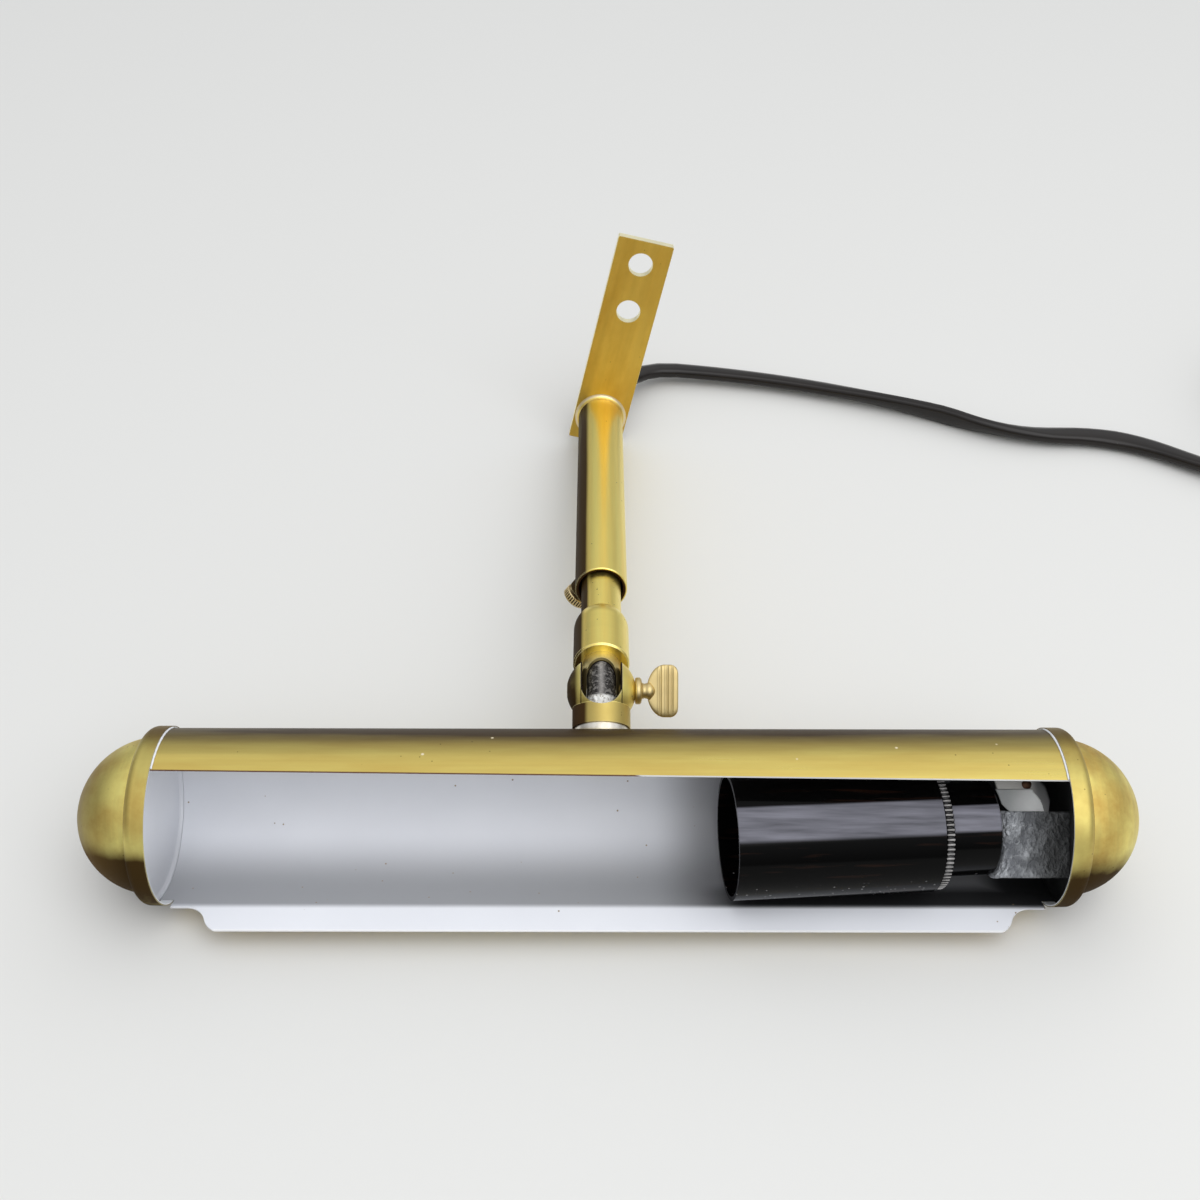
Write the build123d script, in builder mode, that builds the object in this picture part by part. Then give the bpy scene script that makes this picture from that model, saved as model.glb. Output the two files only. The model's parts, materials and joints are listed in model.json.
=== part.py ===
from build123d import *
import os
from math import acos, asin, atan, cos, degrees, hypot, pi, radians, sin, sqrt, tan

os.makedirs("parts", exist_ok=True)

# A brass picture lamp for a piano, lying on a table. Millimetres, degrees, +Z up.
# The shade runs along X, the telescopic arm runs away from it along +Y.
# In a cross-section of the shade, angles are measured from +Y towards +Z.

# ---- shade and end caps ----
SHADE_OD = 40.8          # brass tube
SHEET = 0.5
SHADE_LEN = 205.9        # between the two cap bands
CUT_LEFT, CUT_RIGHT = 96.2, 102.6   # upper edge of the opening at the tube's two ends
CREASE = -138.4          # fold of the lip
FLAT_RUN = 7.0           # flat stretch of the wall before the fold
LIP_W = 6.5
LIP_BEND_R = 0.8
LIP_START = 4.2          # from the band to the start of the lip's end curve
LIP_CURVE = 9.2          # length of that curve along X
CAP_SHEET = 0.45
CAP_FIT = 0.05           # band over the tube
BAND_W = 5.0
BAND_ROUND = 2.0         # shoulder of the band
DOME_R, DOME_H = 18.3, 16.0
PLATE_T = 0.4            # white cup that closes each end
PLATE_FIT = 0.1

# ---- stem, ball and wing screw ----
STEM_X = -1.7            # the stem sits a little left of the middle
STEM_ANGLE = 22.0
BALL_DIST = 31.0         # shade axis to ball centre
BALL_OD = 17.0
STEM_OD = 14.1
SEAT_OD = 13.2           # saddle washer on the shade
SEAT_T = 0.7             # its thickness over the crown
SPIGOT_OD = 10.0         # M10 x 1
STEM_BORE = 6.8
BALL_SLOT = 10.1
SLOT_FOOT = 0.4          # centre of the slot's round foot below the ball's centre
PIVOT_D = 3.0
PIN_FIT = 0.05           # every hole for a pin or screw, radial
SPOT_FACE = 8.2
WING_SEAT_GAP = 0.05
WING_FLANGE = (1.6, 6.6)   # length, diameter
WING_NECK = (1.8, 4.4)
WING_W, WING_H, WING_T = 7.6, 12.9, 1.5
WING_GROOVES = (2.9, 4.6, 6.1)

# ---- arm ----
ARM_LEN = 137.0          # ball centre to the strap's front face
TONGUE_OD, TONGUE_ID = 9.4, 7.0
TONGUE_SLOT = 7.2
TONGUE_END = 18.0
WINDOW_TOP = 7.2         # window's apex from the ball centre
COLLAR_OD = 14.1
COLLAR = (9.7, 23.6, 28.3)   # start, end of the plain part, end
INNER_OD, INNER_ID = 10.5, 8.8
INNER_END = 110.0
SLEEVE_OD, SLEEVE_ID, SLEEVE_L = 11.9, 10.6, 10.0
OUTER_OD, OUTER_ID = 14.0, 12.0
MOUTH = 42.2             # outer tube's open end
CLAMP_AT = 52.0
CLAMP_TURN = 35.0        # from straight down towards -X
BOSS_OD, BOSS_TOP = 7.0, 9.5
CLAMP_D = 4.0
HEAD_OD, HEAD_T, HEAD_AT = 7.4, 2.4, 10.4
CLAMP_TIP = 5.62
ARM_CABLE_D = 6.2
CABLE_BACK = 8.0         # arm's cable stops short of the inner tube's end
CABLE_GAP = 0.4          # between the arm's cable and the cable in the stem

# ---- wall strap ----
STRAP_W, STRAP_T = 17.0, 2.5
STRAP_UP, STRAP_DOWN = 60.7, 9.0
STRAP_TURN = 12.9        # top of the strap towards +X
STRAP_CORNER = 0.5
HOLE_D = 7.3
HOLE_LOW, HOLE_PITCH = 37.7, 15.5
CABLE_HOLE = 10.0
SOLDER = 1.2
BUSH_BORE, BUSH_FLANGE, BUSH_OUT = 7.6, 12.6, 1.2

# ---- lampholder and its bracket, offsets from the shade axis ----
# "near" is towards the viewer and up, "low" is towards the viewer and down, both at 45 degrees
# and "back" is from the right cap's band towards the middle
MOUTH_BACK, MOUTH_NEAR, MOUTH_LOW = 75.15, 4.4, 4.1
RING_BACK, RING_NEAR, RING_LOW = 23.75, 0.0, 2.7
BODY_L, BODY_OD, BODY_WALL = 47.3, 29.4, 1.0
RING_L, RING_OD = 2.4, 28.4
CAP_L, CAP_OD, CAP_WALL = 11.9, 22.6, 1.2
SHELL_ID, SHELL_WALL = 14.0, 0.4          # E14
SHELL_L = 14.5
CONTACT_UP = 1.4         # centre contact over the insert's disc
INSERT_DISC = 7.0        # up to the cap's neck
NECK_IN = 2.2            # cap's neck inside the body
NIPPLE_OD = 9.9
BRACKET_T = 0.8
WEB_NEAR, WEB_LOW, WEB_H = 6.2, 5.6, 15.4
END_LEG = 5.0
FLANGE_FROM, FLANGE_TO = 10.0, 39.0       # on the wall, from straight behind upwards
FLANGE_W, TAB_W = 11.0, 3.4
BRACKET_SCREW = (3.15, 20.0)              # back and angle of the screw through the flange
SCREW_D = 3.0
LEAD_D = 3.2

# ---- free cord ----
CORD_D = 7.2             # flat twin cord, as wide as this
CORD_TOTAL = 1800.0
COIL_MID_D, COIL_W, COIL_H = 77.0, 22.0, 14.0
TIE_T, TIE_W, TIE_FIT = 1.0, 6.0, 0.2
PLUG_L, PLUG_W, PLUG_H = 34.0, 25.0, 14.0
PLUG_PIN_D, PLUG_PIN_L, PLUG_PIN_PITCH = 4.0, 19.0, 18.6

# ---- worked-out places ----
SHADE_R = SHADE_OD / 2
BAND_R = SHADE_R + CAP_FIT + CAP_SHEET
AXIS_Z = BAND_R                       # the lamp rests on its two bands
HALF = SHADE_LEN / 2
TUBE_HALF = HALF + BAND_W - BAND_ROUND - 0.1
stem_a = radians(STEM_ANGLE)
crease_a = radians(CREASE)
crease_r = hypot(SHADE_R, FLAT_RUN)

# The arm falls from the ball until the strap's lowest corner is on the table too.
turn = radians(STRAP_TURN)
ball_z = AXIS_Z + BALL_DIST * sin(stem_a)
reach = ARM_LEN + STRAP_T
drop = ((STRAP_DOWN - STRAP_CORNER) * cos(turn)
        + (STRAP_W / 2 - STRAP_CORNER) * sin(turn) + STRAP_CORNER)
pitch = asin(ball_z / hypot(reach, drop)) - atan(drop / reach)
rise = ((STRAP_UP - STRAP_CORNER) * cos(turn)
        + (STRAP_W / 2 - STRAP_CORNER) * sin(turn) + STRAP_CORNER)

# The box of the lamp without its cord is centred on Y = 0.
y_near = crease_r * cos(crease_a) - LIP_W
y_far = BALL_DIST * cos(stem_a) + reach * cos(pitch) + rise * sin(pitch)
AXIS_Y = -(y_near + y_far) / 2

axis_dir = Vector(1, 0, 0)
stem_in = Vector(0, -cos(stem_a), -sin(stem_a))       # ball towards shade
stem_front = Vector(0, -sin(stem_a), cos(stem_a))
arm_dir = Vector(0, cos(pitch), -sin(pitch))          # ball towards strap
arm_up = Vector(0, sin(pitch), cos(pitch))
near_dir = Vector(0, -sqrt(0.5), sqrt(0.5))
low_dir = Vector(0, -sqrt(0.5), -sqrt(0.5))

mid = Vector(0, AXIS_Y, AXIS_Z)
ball = mid + axis_dir * STEM_X - stem_in * BALL_DIST
strap_at = ball + arm_dir * ARM_LEN


def along_shade(x):
    """Cross-section plane of the shade at x: local x is +Y, local y is +Z."""
    return Plane(origin=(x, AXIS_Y, AXIS_Z), x_dir=(0, 1, 0), z_dir=(1, 0, 0))


def along_stem(u):
    """Plane square to the stem, u from the ball centre towards the shade."""
    return Plane(origin=ball + stem_in * u, x_dir=axis_dir, z_dir=stem_in)


def along_arm(s):
    """Plane square to the tubes, s from the ball centre towards the strap."""
    return Plane(origin=ball + arm_dir * s, x_dir=axis_dir * -1, z_dir=arm_dir)


def across_ball(x):
    """Plane square to the pivot at x from the ball centre: local x runs up the arm."""
    return Plane(origin=ball + axis_dir * x, x_dir=arm_dir, z_dir=axis_dir)


shade_axis = Axis(mid, axis_dir)
arm_axis = Axis(ball, arm_dir)
strap_face = Plane(origin=strap_at,
                   x_dir=axis_dir * cos(turn) - arm_up * sin(turn), z_dir=arm_dir * -1)

# ---- shade: open brass tube with a folded lip ----
flat_from = CREASE + degrees(atan(FLAT_RUN / SHADE_R))
lip_turn = 180 - (flat_from % 360 - 90)
profile_from = max(CUT_LEFT, CUT_RIGHT) + 2
with BuildPart() as shade:
    with BuildSketch(along_shade(-TUBE_HALF)):
        with BuildLine():
            wall = CenterArc((0, 0), SHADE_R - SHEET / 2, profile_from, flat_from - profile_from)
            flat = Line(wall @ 1, wall @ 1 + wall % 1 * FLAT_RUN)
            fold = JernArc(flat @ 1, flat % 1, LIP_BEND_R, lip_turn)
            Line(fold @ 1, (y_near, (fold @ 1).Y))
        trace(line_width=SHEET)
    extrude(amount=2 * TUBE_HALF)
    # the upper edge is cut a little askew
    edge_left = AXIS_Y + SHADE_R * cos(radians(CUT_LEFT))
    edge_right = AXIS_Y + SHADE_R * cos(radians(CUT_RIGHT))
    with BuildSketch(Plane((0, 0, AXIS_Z + SHADE_R / 2))):
        with BuildLine():
            Polyline((-TUBE_HALF - 1, edge_left), (-TUBE_HALF, edge_left), (TUBE_HALF, edge_right),
                     (TUBE_HALF + 1, edge_right), (TUBE_HALF + 1, edge_right - SHADE_R),
                     (-TUBE_HALF - 1, edge_right - SHADE_R), (-TUBE_HALF - 1, edge_left))
        make_face()
    extrude(amount=SHADE_R, mode=Mode.SUBTRACT)
    # the lip's ends swing back to the fold in two equal arcs
    swing = (LIP_CURVE ** 2 + LIP_W ** 2) / (4 * LIP_W)
    fold_y = crease_r * cos(crease_a) - 0.35
    for side in (1, -1):
        start = HALF - LIP_START
        with BuildSketch(Plane((0, AXIS_Y, AXIS_Z + crease_r * sin(crease_a) - 2))):
            with BuildLine():
                first = JernArc((side * start, fold_y), (-side, 0), swing,
                                side * degrees(asin(LIP_CURVE / 2 / swing)))
                second = JernArc(first @ 1, first % 1, swing,
                                 -side * degrees(asin(LIP_CURVE / 2 / swing)))
                Polyline(second @ 1, ((second @ 1).X, y_near - 2),
                         (side * (TUBE_HALF + 1), y_near - 2),
                         (side * (TUBE_HALF + 1), fold_y), (side * start, fold_y))
            make_face()
        extrude(amount=4, mode=Mode.SUBTRACT)
        # nothing stands proud of the tube under the bands
        with BuildSketch(along_shade(side * (HALF - 0.3))):
            Circle(SHADE_R + LIP_W)
            Circle(SHADE_R, mode=Mode.SUBTRACT)
        extrude(amount=side * BAND_W, mode=Mode.SUBTRACT)
    # holes for the stem and the bracket's screw
    with BuildSketch(along_stem(BALL_DIST - SHADE_R - 2)):
        Circle(SPIGOT_OD / 2 + 0.1)
    extrude(amount=6, mode=Mode.SUBTRACT)
    screw_out = Vector(0, sqrt(0.5), -sqrt(0.5)).rotate(Axis.X, BRACKET_SCREW[1])
    screw_plane = Plane(origin=mid + axis_dir * (HALF - BRACKET_SCREW[0]) + screw_out * (SHADE_R - 4),
                        x_dir=axis_dir, z_dir=screw_out)
    with BuildSketch(screw_plane):
        Circle(SCREW_D / 2 + PIN_FIT)
    extrude(amount=6, mode=Mode.SUBTRACT)
shade.part.label = "shade"
export_step(shade.part, "parts/shade.step")

# ---- end caps: band, rounded shoulder, groove and dome, spun from thin sheet ----
cap_planes = {
    "end_cap_left": Plane(origin=(-HALF, AXIS_Y, AXIS_Z), x_dir=(-1, 0, 0), z_dir=(0, 1, 0)),
    "end_cap_right": Plane(origin=(HALF, AXIS_Y, AXIS_Z), x_dir=(1, 0, 0), z_dir=(0, -1, 0)),
}
shoulder_x = BAND_W - BAND_ROUND
shoulder_r = BAND_R - BAND_ROUND
inner_round = BAND_ROUND - CAP_SHEET
# the dome is a part of a sphere that stands DOME_H out of the band
dome_ball = (DOME_R ** 2 + DOME_H ** 2) / (2 * DOME_H)
dome_mid = BAND_W + DOME_H - dome_ball
dome_turn = degrees(asin(DOME_R / dome_ball))
if DOME_H > DOME_R:
    dome_turn = 180 - dome_turn
hollow = dome_ball - CAP_SHEET
dome_in = sqrt(hollow ** 2 - (BAND_W - dome_mid) ** 2)
hollow_turn = degrees(acos((BAND_W - dome_mid) / hollow))

with BuildPart() as end_cap_left:
    with BuildSketch(cap_planes["end_cap_left"]):
        with BuildLine():
            Line((0, BAND_R), (shoulder_x, BAND_R))
            CenterArc((shoulder_x, shoulder_r), BAND_ROUND, 0, 90)
            Line((BAND_W, shoulder_r), (BAND_W, DOME_R))
            CenterArc((dome_mid, 0), dome_ball, 0, dome_turn)
            Line((dome_mid + dome_ball, 0), (dome_mid + hollow, 0))
            CenterArc((dome_mid, 0), hollow, 0, hollow_turn)
            Polyline((BAND_W, dome_in), (BAND_W - CAP_SHEET, dome_in),
                     (BAND_W - CAP_SHEET, shoulder_r))
            CenterArc((shoulder_x, shoulder_r), inner_round, 0, 90)
            Polyline((shoulder_x, BAND_R - CAP_SHEET), (0, BAND_R - CAP_SHEET), (0, BAND_R))
        make_face()
    revolve(axis=shade_axis)
end_cap_left.part.label = "end_cap_left"
export_step(end_cap_left.part, "parts/end_cap_left.step")

with BuildPart() as end_cap_right:
    with BuildSketch(cap_planes["end_cap_right"]):
        with BuildLine():
            Line((0, BAND_R), (shoulder_x, BAND_R))
            CenterArc((shoulder_x, shoulder_r), BAND_ROUND, 0, 90)
            Line((BAND_W, shoulder_r), (BAND_W, DOME_R))
            CenterArc((dome_mid, 0), dome_ball, 0, dome_turn)
            Line((dome_mid + dome_ball, 0), (dome_mid + hollow, 0))
            CenterArc((dome_mid, 0), hollow, 0, hollow_turn)
            Polyline((BAND_W, dome_in), (BAND_W - CAP_SHEET, dome_in),
                     (BAND_W - CAP_SHEET, shoulder_r))
            CenterArc((shoulder_x, shoulder_r), inner_round, 0, 90)
            Polyline((shoulder_x, BAND_R - CAP_SHEET), (0, BAND_R - CAP_SHEET), (0, BAND_R))
        make_face()
    revolve(axis=shade_axis)
end_cap_right.part.label = "end_cap_right"
export_step(end_cap_right.part, "parts/end_cap_right.step")

# white cups that close the tube's ends inside the caps
cup_r = BAND_R - CAP_SHEET - PLATE_FIT
cup_round = inner_round - 1.5 * PLATE_FIT
flat_r = cup_r - cup_round
plate_in = shoulder_x + cup_round - PLATE_T
with BuildPart() as end_plate_left:
    with BuildSketch(cap_planes["end_cap_left"]):
        with BuildLine():
            CenterArc((shoulder_x, flat_r), cup_round, 0, 90)
            Polyline((shoulder_x + cup_round, flat_r), (shoulder_x + cup_round, 0), (plate_in, 0),
                     (plate_in, flat_r))
            CenterArc((shoulder_x, flat_r), cup_round - PLATE_T, 0, 90)
            Line((shoulder_x, cup_r - PLATE_T), (shoulder_x, cup_r))
        make_face()
    revolve(axis=shade_axis)
end_plate_left.part.label = "end_plate_left"
export_step(end_plate_left.part, "parts/end_plate_left.step")

with BuildPart() as end_plate_right:
    with BuildSketch(cap_planes["end_cap_right"]):
        with BuildLine():
            CenterArc((shoulder_x, flat_r), cup_round, 0, 90)
            Polyline((shoulder_x + cup_round, flat_r), (shoulder_x + cup_round, 0), (plate_in, 0),
                     (plate_in, flat_r))
            CenterArc((shoulder_x, flat_r), cup_round - PLATE_T, 0, 90)
            Line((shoulder_x, cup_r - PLATE_T), (shoulder_x, cup_r))
        make_face()
    revolve(axis=shade_axis)
end_plate_right.part.label = "end_plate_right"
export_step(end_plate_right.part, "parts/end_plate_right.step")

# ---- knuckle: slotted ball on a hollow stem with a threaded spigot ----
stem_end = BALL_DIST - SHADE_R - SEAT_T
wall_in = BALL_DIST - (SHADE_R - SHEET)
cradle_end = wall_in + 2.1
nut_end = cradle_end + 2.3
spigot_end = nut_end + 0.6
with BuildPart() as knuckle_ball:
    with Locations(Location(ball)):
        Sphere(BALL_OD / 2)
    with BuildSketch(along_stem(0)):
        Circle(STEM_OD / 2)
    extrude(amount=stem_end)
    with BuildSketch(along_stem(stem_end - 1)):
        Circle(SPIGOT_OD / 2)
    extrude(amount=spigot_end - stem_end + 1)
    with BuildSketch(along_stem(0)):
        Circle(STEM_BORE / 2)
    extrude(amount=spigot_end + 1, mode=Mode.SUBTRACT)
    with BuildSketch(Plane(origin=ball, x_dir=axis_dir, z_dir=stem_front)):
        with Locations((0, -SLOT_FOOT)):
            Circle(BALL_SLOT / 2)
        with Locations((0, BALL_OD / 2 - SLOT_FOOT)):
            Rectangle(BALL_SLOT, BALL_OD)
    extrude(amount=BALL_OD, both=True, mode=Mode.SUBTRACT)
    with BuildSketch(across_ball(0)):
        Circle(PIVOT_D / 2 + PIN_FIT)
    extrude(amount=BALL_OD, both=True, mode=Mode.SUBTRACT)
    with BuildSketch(across_ball(SPOT_FACE)):
        Circle(WING_FLANGE[1] / 2 + 0.4)
    extrude(amount=2, mode=Mode.SUBTRACT)
knuckle_ball.part.label = "knuckle_ball"
export_step(knuckle_ball.part, "parts/knuckle_ball.step")

with BuildPart() as stem_seat:
    with BuildSketch(along_stem(stem_end + 0.01)):
        Circle(SEAT_OD / 2)
        Circle(SPIGOT_OD / 2 + PIN_FIT, mode=Mode.SUBTRACT)
    extrude(amount=4)
    with BuildSketch(along_shade(STEM_X - SEAT_OD)):
        Circle(SHADE_R + 0.01)
    extrude(amount=2 * SEAT_OD, mode=Mode.SUBTRACT)
stem_seat.part.label = "stem_seat"
export_step(stem_seat.part, "parts/stem_seat.step")

with BuildPart() as stem_cradle:
    with BuildSketch(along_stem(wall_in - 1)):
        Circle(SPIGOT_OD / 2 + 2.2)
        Circle(SPIGOT_OD / 2 + PIN_FIT, mode=Mode.SUBTRACT)
    extrude(amount=cradle_end - wall_in + 1)
    with BuildSketch(along_shade(STEM_X - SEAT_OD)):
        Circle(SHADE_R - SHEET - 0.01)
    extrude(amount=2 * SEAT_OD, mode=Mode.INTERSECT)
stem_cradle.part.label = "stem_cradle"
export_step(stem_cradle.part, "parts/stem_cradle.step")

with BuildPart() as stem_nut:
    with BuildSketch(along_stem(cradle_end + 0.01)):
        RegularPolygon(SPIGOT_OD / 2 + 2.2, 6)
        Circle(SPIGOT_OD / 2 + PIN_FIT, mode=Mode.SUBTRACT)
    extrude(amount=nut_end - cradle_end - 0.01)
stem_nut.part.label = "stem_nut"
export_step(stem_nut.part, "parts/stem_nut.step")

# white filling that holds the lead in the stem, seen at the foot of the slot
with BuildPart() as stem_filler:
    with BuildSketch(along_stem(BALL_SLOT / 2 - 0.6)):
        Circle(STEM_BORE / 2 - 0.02)
        Circle(LEAD_D / 2 + 0.02, mode=Mode.SUBTRACT)
    extrude(amount=4.5)
stem_filler.part.label = "stem_filler"
export_step(stem_filler.part, "parts/stem_filler.step")

cheek_in = TONGUE_SLOT / 2 + 0.05
with BuildPart() as pivot_pin:
    with BuildSketch(across_ball(-SPOT_FACE)):
        Circle(PIVOT_D / 2)
    extrude(amount=SPOT_FACE - cheek_in)
pivot_pin.part.label = "pivot_pin"
export_step(pivot_pin.part, "parts/pivot_pin.step")

# ---- wing screw: shank, flange, neck and a grooved paddle that faces the viewer ----
wing_at = SPOT_FACE + WING_SEAT_GAP
paddle_at = wing_at + WING_FLANGE[0] + WING_NECK[0]
paddle = Plane(origin=ball + axis_dir * paddle_at, x_dir=axis_dir, z_dir=near_dir)
with BuildPart() as wing_screw:
    with BuildSketch(across_ball(cheek_in)):
        Circle(PIVOT_D / 2)
    extrude(amount=wing_at - cheek_in + 0.5)
    with BuildSketch(across_ball(wing_at)):
        Circle(WING_FLANGE[1] / 2)
    extrude(amount=WING_FLANGE[0])
    with BuildSketch(across_ball(wing_at + WING_FLANGE[0] - 0.2)):
        Circle(WING_NECK[1] / 2)
    extrude(amount=WING_NECK[0] + 0.7)
    with BuildSketch(paddle.offset(-WING_T / 2)):
        with BuildLine():
            upper = Spline((0, 0.13 * WING_H), (0.18 * WING_W, 0.36 * WING_H),
                           (0.56 * WING_W, 0.5 * WING_H), (0.93 * WING_W, 0.38 * WING_H),
                           (WING_W, 0.2 * WING_H))
            lower = Spline((0, -0.13 * WING_H), (0.18 * WING_W, -0.36 * WING_H),
                           (0.56 * WING_W, -0.5 * WING_H), (0.93 * WING_W, -0.38 * WING_H),
                           (WING_W, -0.2 * WING_H))
            Line(upper @ 0, lower @ 0)
            Line(upper @ 1, lower @ 1)
        make_face()
    extrude(amount=WING_T)
    for face in (WING_T / 2, -WING_T / 2):
        with BuildSketch(paddle.offset(face)):
            for x in WING_GROOVES:
                with Locations((x, 0)):
                    Rectangle(0.5, 2 * WING_H)
        extrude(amount=0.15, both=True, mode=Mode.SUBTRACT)
wing_screw.part.label = "wing_screw"
export_step(wing_screw.part, "parts/wing_screw.step")

# ---- tongue: forked tube end that turns in the ball's slot ----
with BuildPart() as tongue:
    # a tube whose end is rounded like a ball about the pivot
    bore_turn = degrees(asin(TONGUE_ID / TONGUE_OD))
    with BuildSketch(across_ball(0)):
        with BuildLine():
            nose = CenterArc((0, 0), TONGUE_OD / 2, 180 - bore_turn, bore_turn - 90)
            Polyline(nose @ 1, (TONGUE_END, TONGUE_OD / 2), (TONGUE_END, TONGUE_ID / 2), nose @ 0)
        make_face()
    revolve(axis=arm_axis)
    with BuildSketch(Plane(origin=ball, x_dir=axis_dir, z_dir=arm_up)):
        with Locations((0, WINDOW_TOP - TONGUE_SLOT / 2)):
            Circle(TONGUE_SLOT / 2)
        with Locations((0, (WINDOW_TOP - TONGUE_SLOT / 2 - TONGUE_OD) / 2)):
            Rectangle(TONGUE_SLOT, WINDOW_TOP - TONGUE_SLOT / 2 + TONGUE_OD)
    extrude(amount=TONGUE_OD, both=True, mode=Mode.SUBTRACT)
    with BuildSketch(across_ball(0)):
        Circle(PIVOT_D / 2 + PIN_FIT)
    extrude(amount=TONGUE_OD, both=True, mode=Mode.SUBTRACT)
tongue.part.label = "tongue"
export_step(tongue.part, "parts/tongue.step")

with BuildPart() as collar:
    with BuildSketch(across_ball(0)):
        with BuildLine():
            edge = 0.4
            Polyline((COLLAR[0], TONGUE_OD / 2 + 0.02), (COLLAR[0], COLLAR_OD / 2 - edge),
                     (COLLAR[0] + edge, COLLAR_OD / 2), (COLLAR[1], COLLAR_OD / 2))
            TangentArc((COLLAR[1], COLLAR_OD / 2), (COLLAR[2], INNER_OD / 2 + 0.35),
                       tangent=(1, 0))
            Polyline((COLLAR[2], INNER_OD / 2 + 0.35), (COLLAR[2], INNER_OD / 2 + 0.02),
                     (TONGUE_END, INNER_OD / 2 + 0.02), (TONGUE_END, TONGUE_OD / 2 + 0.02),
                     (COLLAR[0], TONGUE_OD / 2 + 0.02))
        make_face()
    revolve(axis=arm_axis)
collar.part.label = "collar"
export_step(collar.part, "parts/collar.step")

# ---- telescopic tubes ----
with BuildPart() as inner_tube:
    with BuildSketch(along_arm(TONGUE_END + 0.05)):
        Circle(INNER_OD / 2)
        Circle(INNER_ID / 2, mode=Mode.SUBTRACT)
    extrude(amount=INNER_END - TONGUE_END - 0.05)
inner_tube.part.label = "inner_tube"
export_step(inner_tube.part, "parts/inner_tube.step")

with BuildPart() as guide_sleeve:
    with BuildSketch(along_arm(INNER_END - 0.2 - SLEEVE_L)):
        Circle(SLEEVE_OD / 2)
        Circle(SLEEVE_ID / 2, mode=Mode.SUBTRACT)
    extrude(amount=SLEEVE_L)
guide_sleeve.part.label = "guide_sleeve"
export_step(guide_sleeve.part, "parts/guide_sleeve.step")

clamp_turn = radians(CLAMP_TURN)
clamp_out = axis_dir * -sin(clamp_turn) - arm_up * cos(clamp_turn)
clamp_at = ball + arm_dir * CLAMP_AT


def along_clamp(r):
    """Plane square to the clamp screw, r from the tubes' axis."""
    return Plane(origin=clamp_at + clamp_out * r, x_dir=arm_dir, z_dir=clamp_out)


with BuildPart() as outer_tube:
    with BuildSketch(along_arm(MOUTH)):
        Circle(OUTER_OD / 2)
        Circle(OUTER_ID / 2, mode=Mode.SUBTRACT)
    extrude(amount=ARM_LEN - MOUTH - 0.02)
    chamfer(outer_tube.edges().filter_by(GeomType.CIRCLE).group_by(Axis.Y)[0], 0.2)
    with BuildSketch(along_clamp(0)):
        Circle(CLAMP_D / 2 + PIN_FIT)
    extrude(amount=OUTER_OD, mode=Mode.SUBTRACT)
outer_tube.part.label = "outer_tube"
export_step(outer_tube.part, "parts/outer_tube.step")

with BuildPart() as clamp_boss:
    with BuildSketch(along_clamp(OUTER_ID / 2)):
        Circle(BOSS_OD / 2)
        Circle(CLAMP_D / 2 + PIN_FIT, mode=Mode.SUBTRACT)
    extrude(amount=BOSS_TOP - OUTER_ID / 2)
    with BuildSketch(along_arm(CLAMP_AT - BOSS_OD)):
        Circle(OUTER_OD / 2 + 0.01)
    extrude(amount=2 * BOSS_OD, mode=Mode.SUBTRACT)
clamp_boss.part.label = "clamp_boss"
export_step(clamp_boss.part, "parts/clamp_boss.step")

with BuildPart() as clamp_screw:
    with BuildSketch(along_clamp(CLAMP_TIP)):
        Circle(CLAMP_D / 2)
    extrude(amount=HEAD_AT - CLAMP_TIP + 0.5)
    with BuildSketch(along_clamp(HEAD_AT)):
        Circle(HEAD_OD / 2)
    extrude(amount=HEAD_T)
    chamfer(clamp_screw.edges().filter_by(GeomType.CIRCLE)
            .filter_by(lambda e: e.radius > HEAD_OD / 2 - 0.1), 0.3)
clamp_screw.part.label = "clamp_screw"
export_step(clamp_screw.part, "parts/clamp_screw.step")

# ---- wall strap with the tube soldered to it ----
with BuildPart() as strap:
    with BuildSketch(strap_face):
        with Locations((0, (STRAP_UP - STRAP_DOWN) / 2)):
            RectangleRounded(STRAP_W, STRAP_UP + STRAP_DOWN, STRAP_CORNER)
        with Locations((0, HOLE_LOW), (0, HOLE_LOW + HOLE_PITCH)):
            Circle(HOLE_D / 2, mode=Mode.SUBTRACT)
        Circle(CABLE_HOLE / 2, mode=Mode.SUBTRACT)
    extrude(amount=-STRAP_T)
strap.part.label = "strap"
export_step(strap.part, "parts/strap.step")

with BuildPart() as solder_ring:
    with BuildSketch(across_ball(0)):
        with BuildLine():
            foot = (ARM_LEN - 0.01, OUTER_OD / 2 + 0.01)
            Polyline((foot[0] - SOLDER, foot[1]), foot, (foot[0], foot[1] + SOLDER))
            ThreePointArc((foot[0], foot[1] + SOLDER),
                          (foot[0] - 0.35 * SOLDER, foot[1] + 0.35 * SOLDER),
                          (foot[0] - SOLDER, foot[1]))
        make_face()
    revolve(axis=arm_axis)
solder_ring.part.label = "solder_ring"
export_step(solder_ring.part, "parts/solder_ring.step")

strap_back = ARM_LEN + STRAP_T
with BuildPart() as cord_bush:
    with BuildSketch(along_arm(ARM_LEN - 1.5)):
        Circle(CABLE_HOLE / 2 - 0.03)
    extrude(amount=STRAP_T + 1.7)
    with BuildSketch(along_arm(strap_back + 0.02)):
        Circle(BUSH_FLANGE / 2)
    extrude(amount=BUSH_OUT)
    with BuildSketch(along_arm(ARM_LEN - 2)):
        Circle(BUSH_BORE / 2)
    extrude(amount=STRAP_T + 5, mode=Mode.SUBTRACT)
cord_bush.part.label = "cord_bush"
export_step(cord_bush.part, "parts/cord_bush.step")

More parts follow.
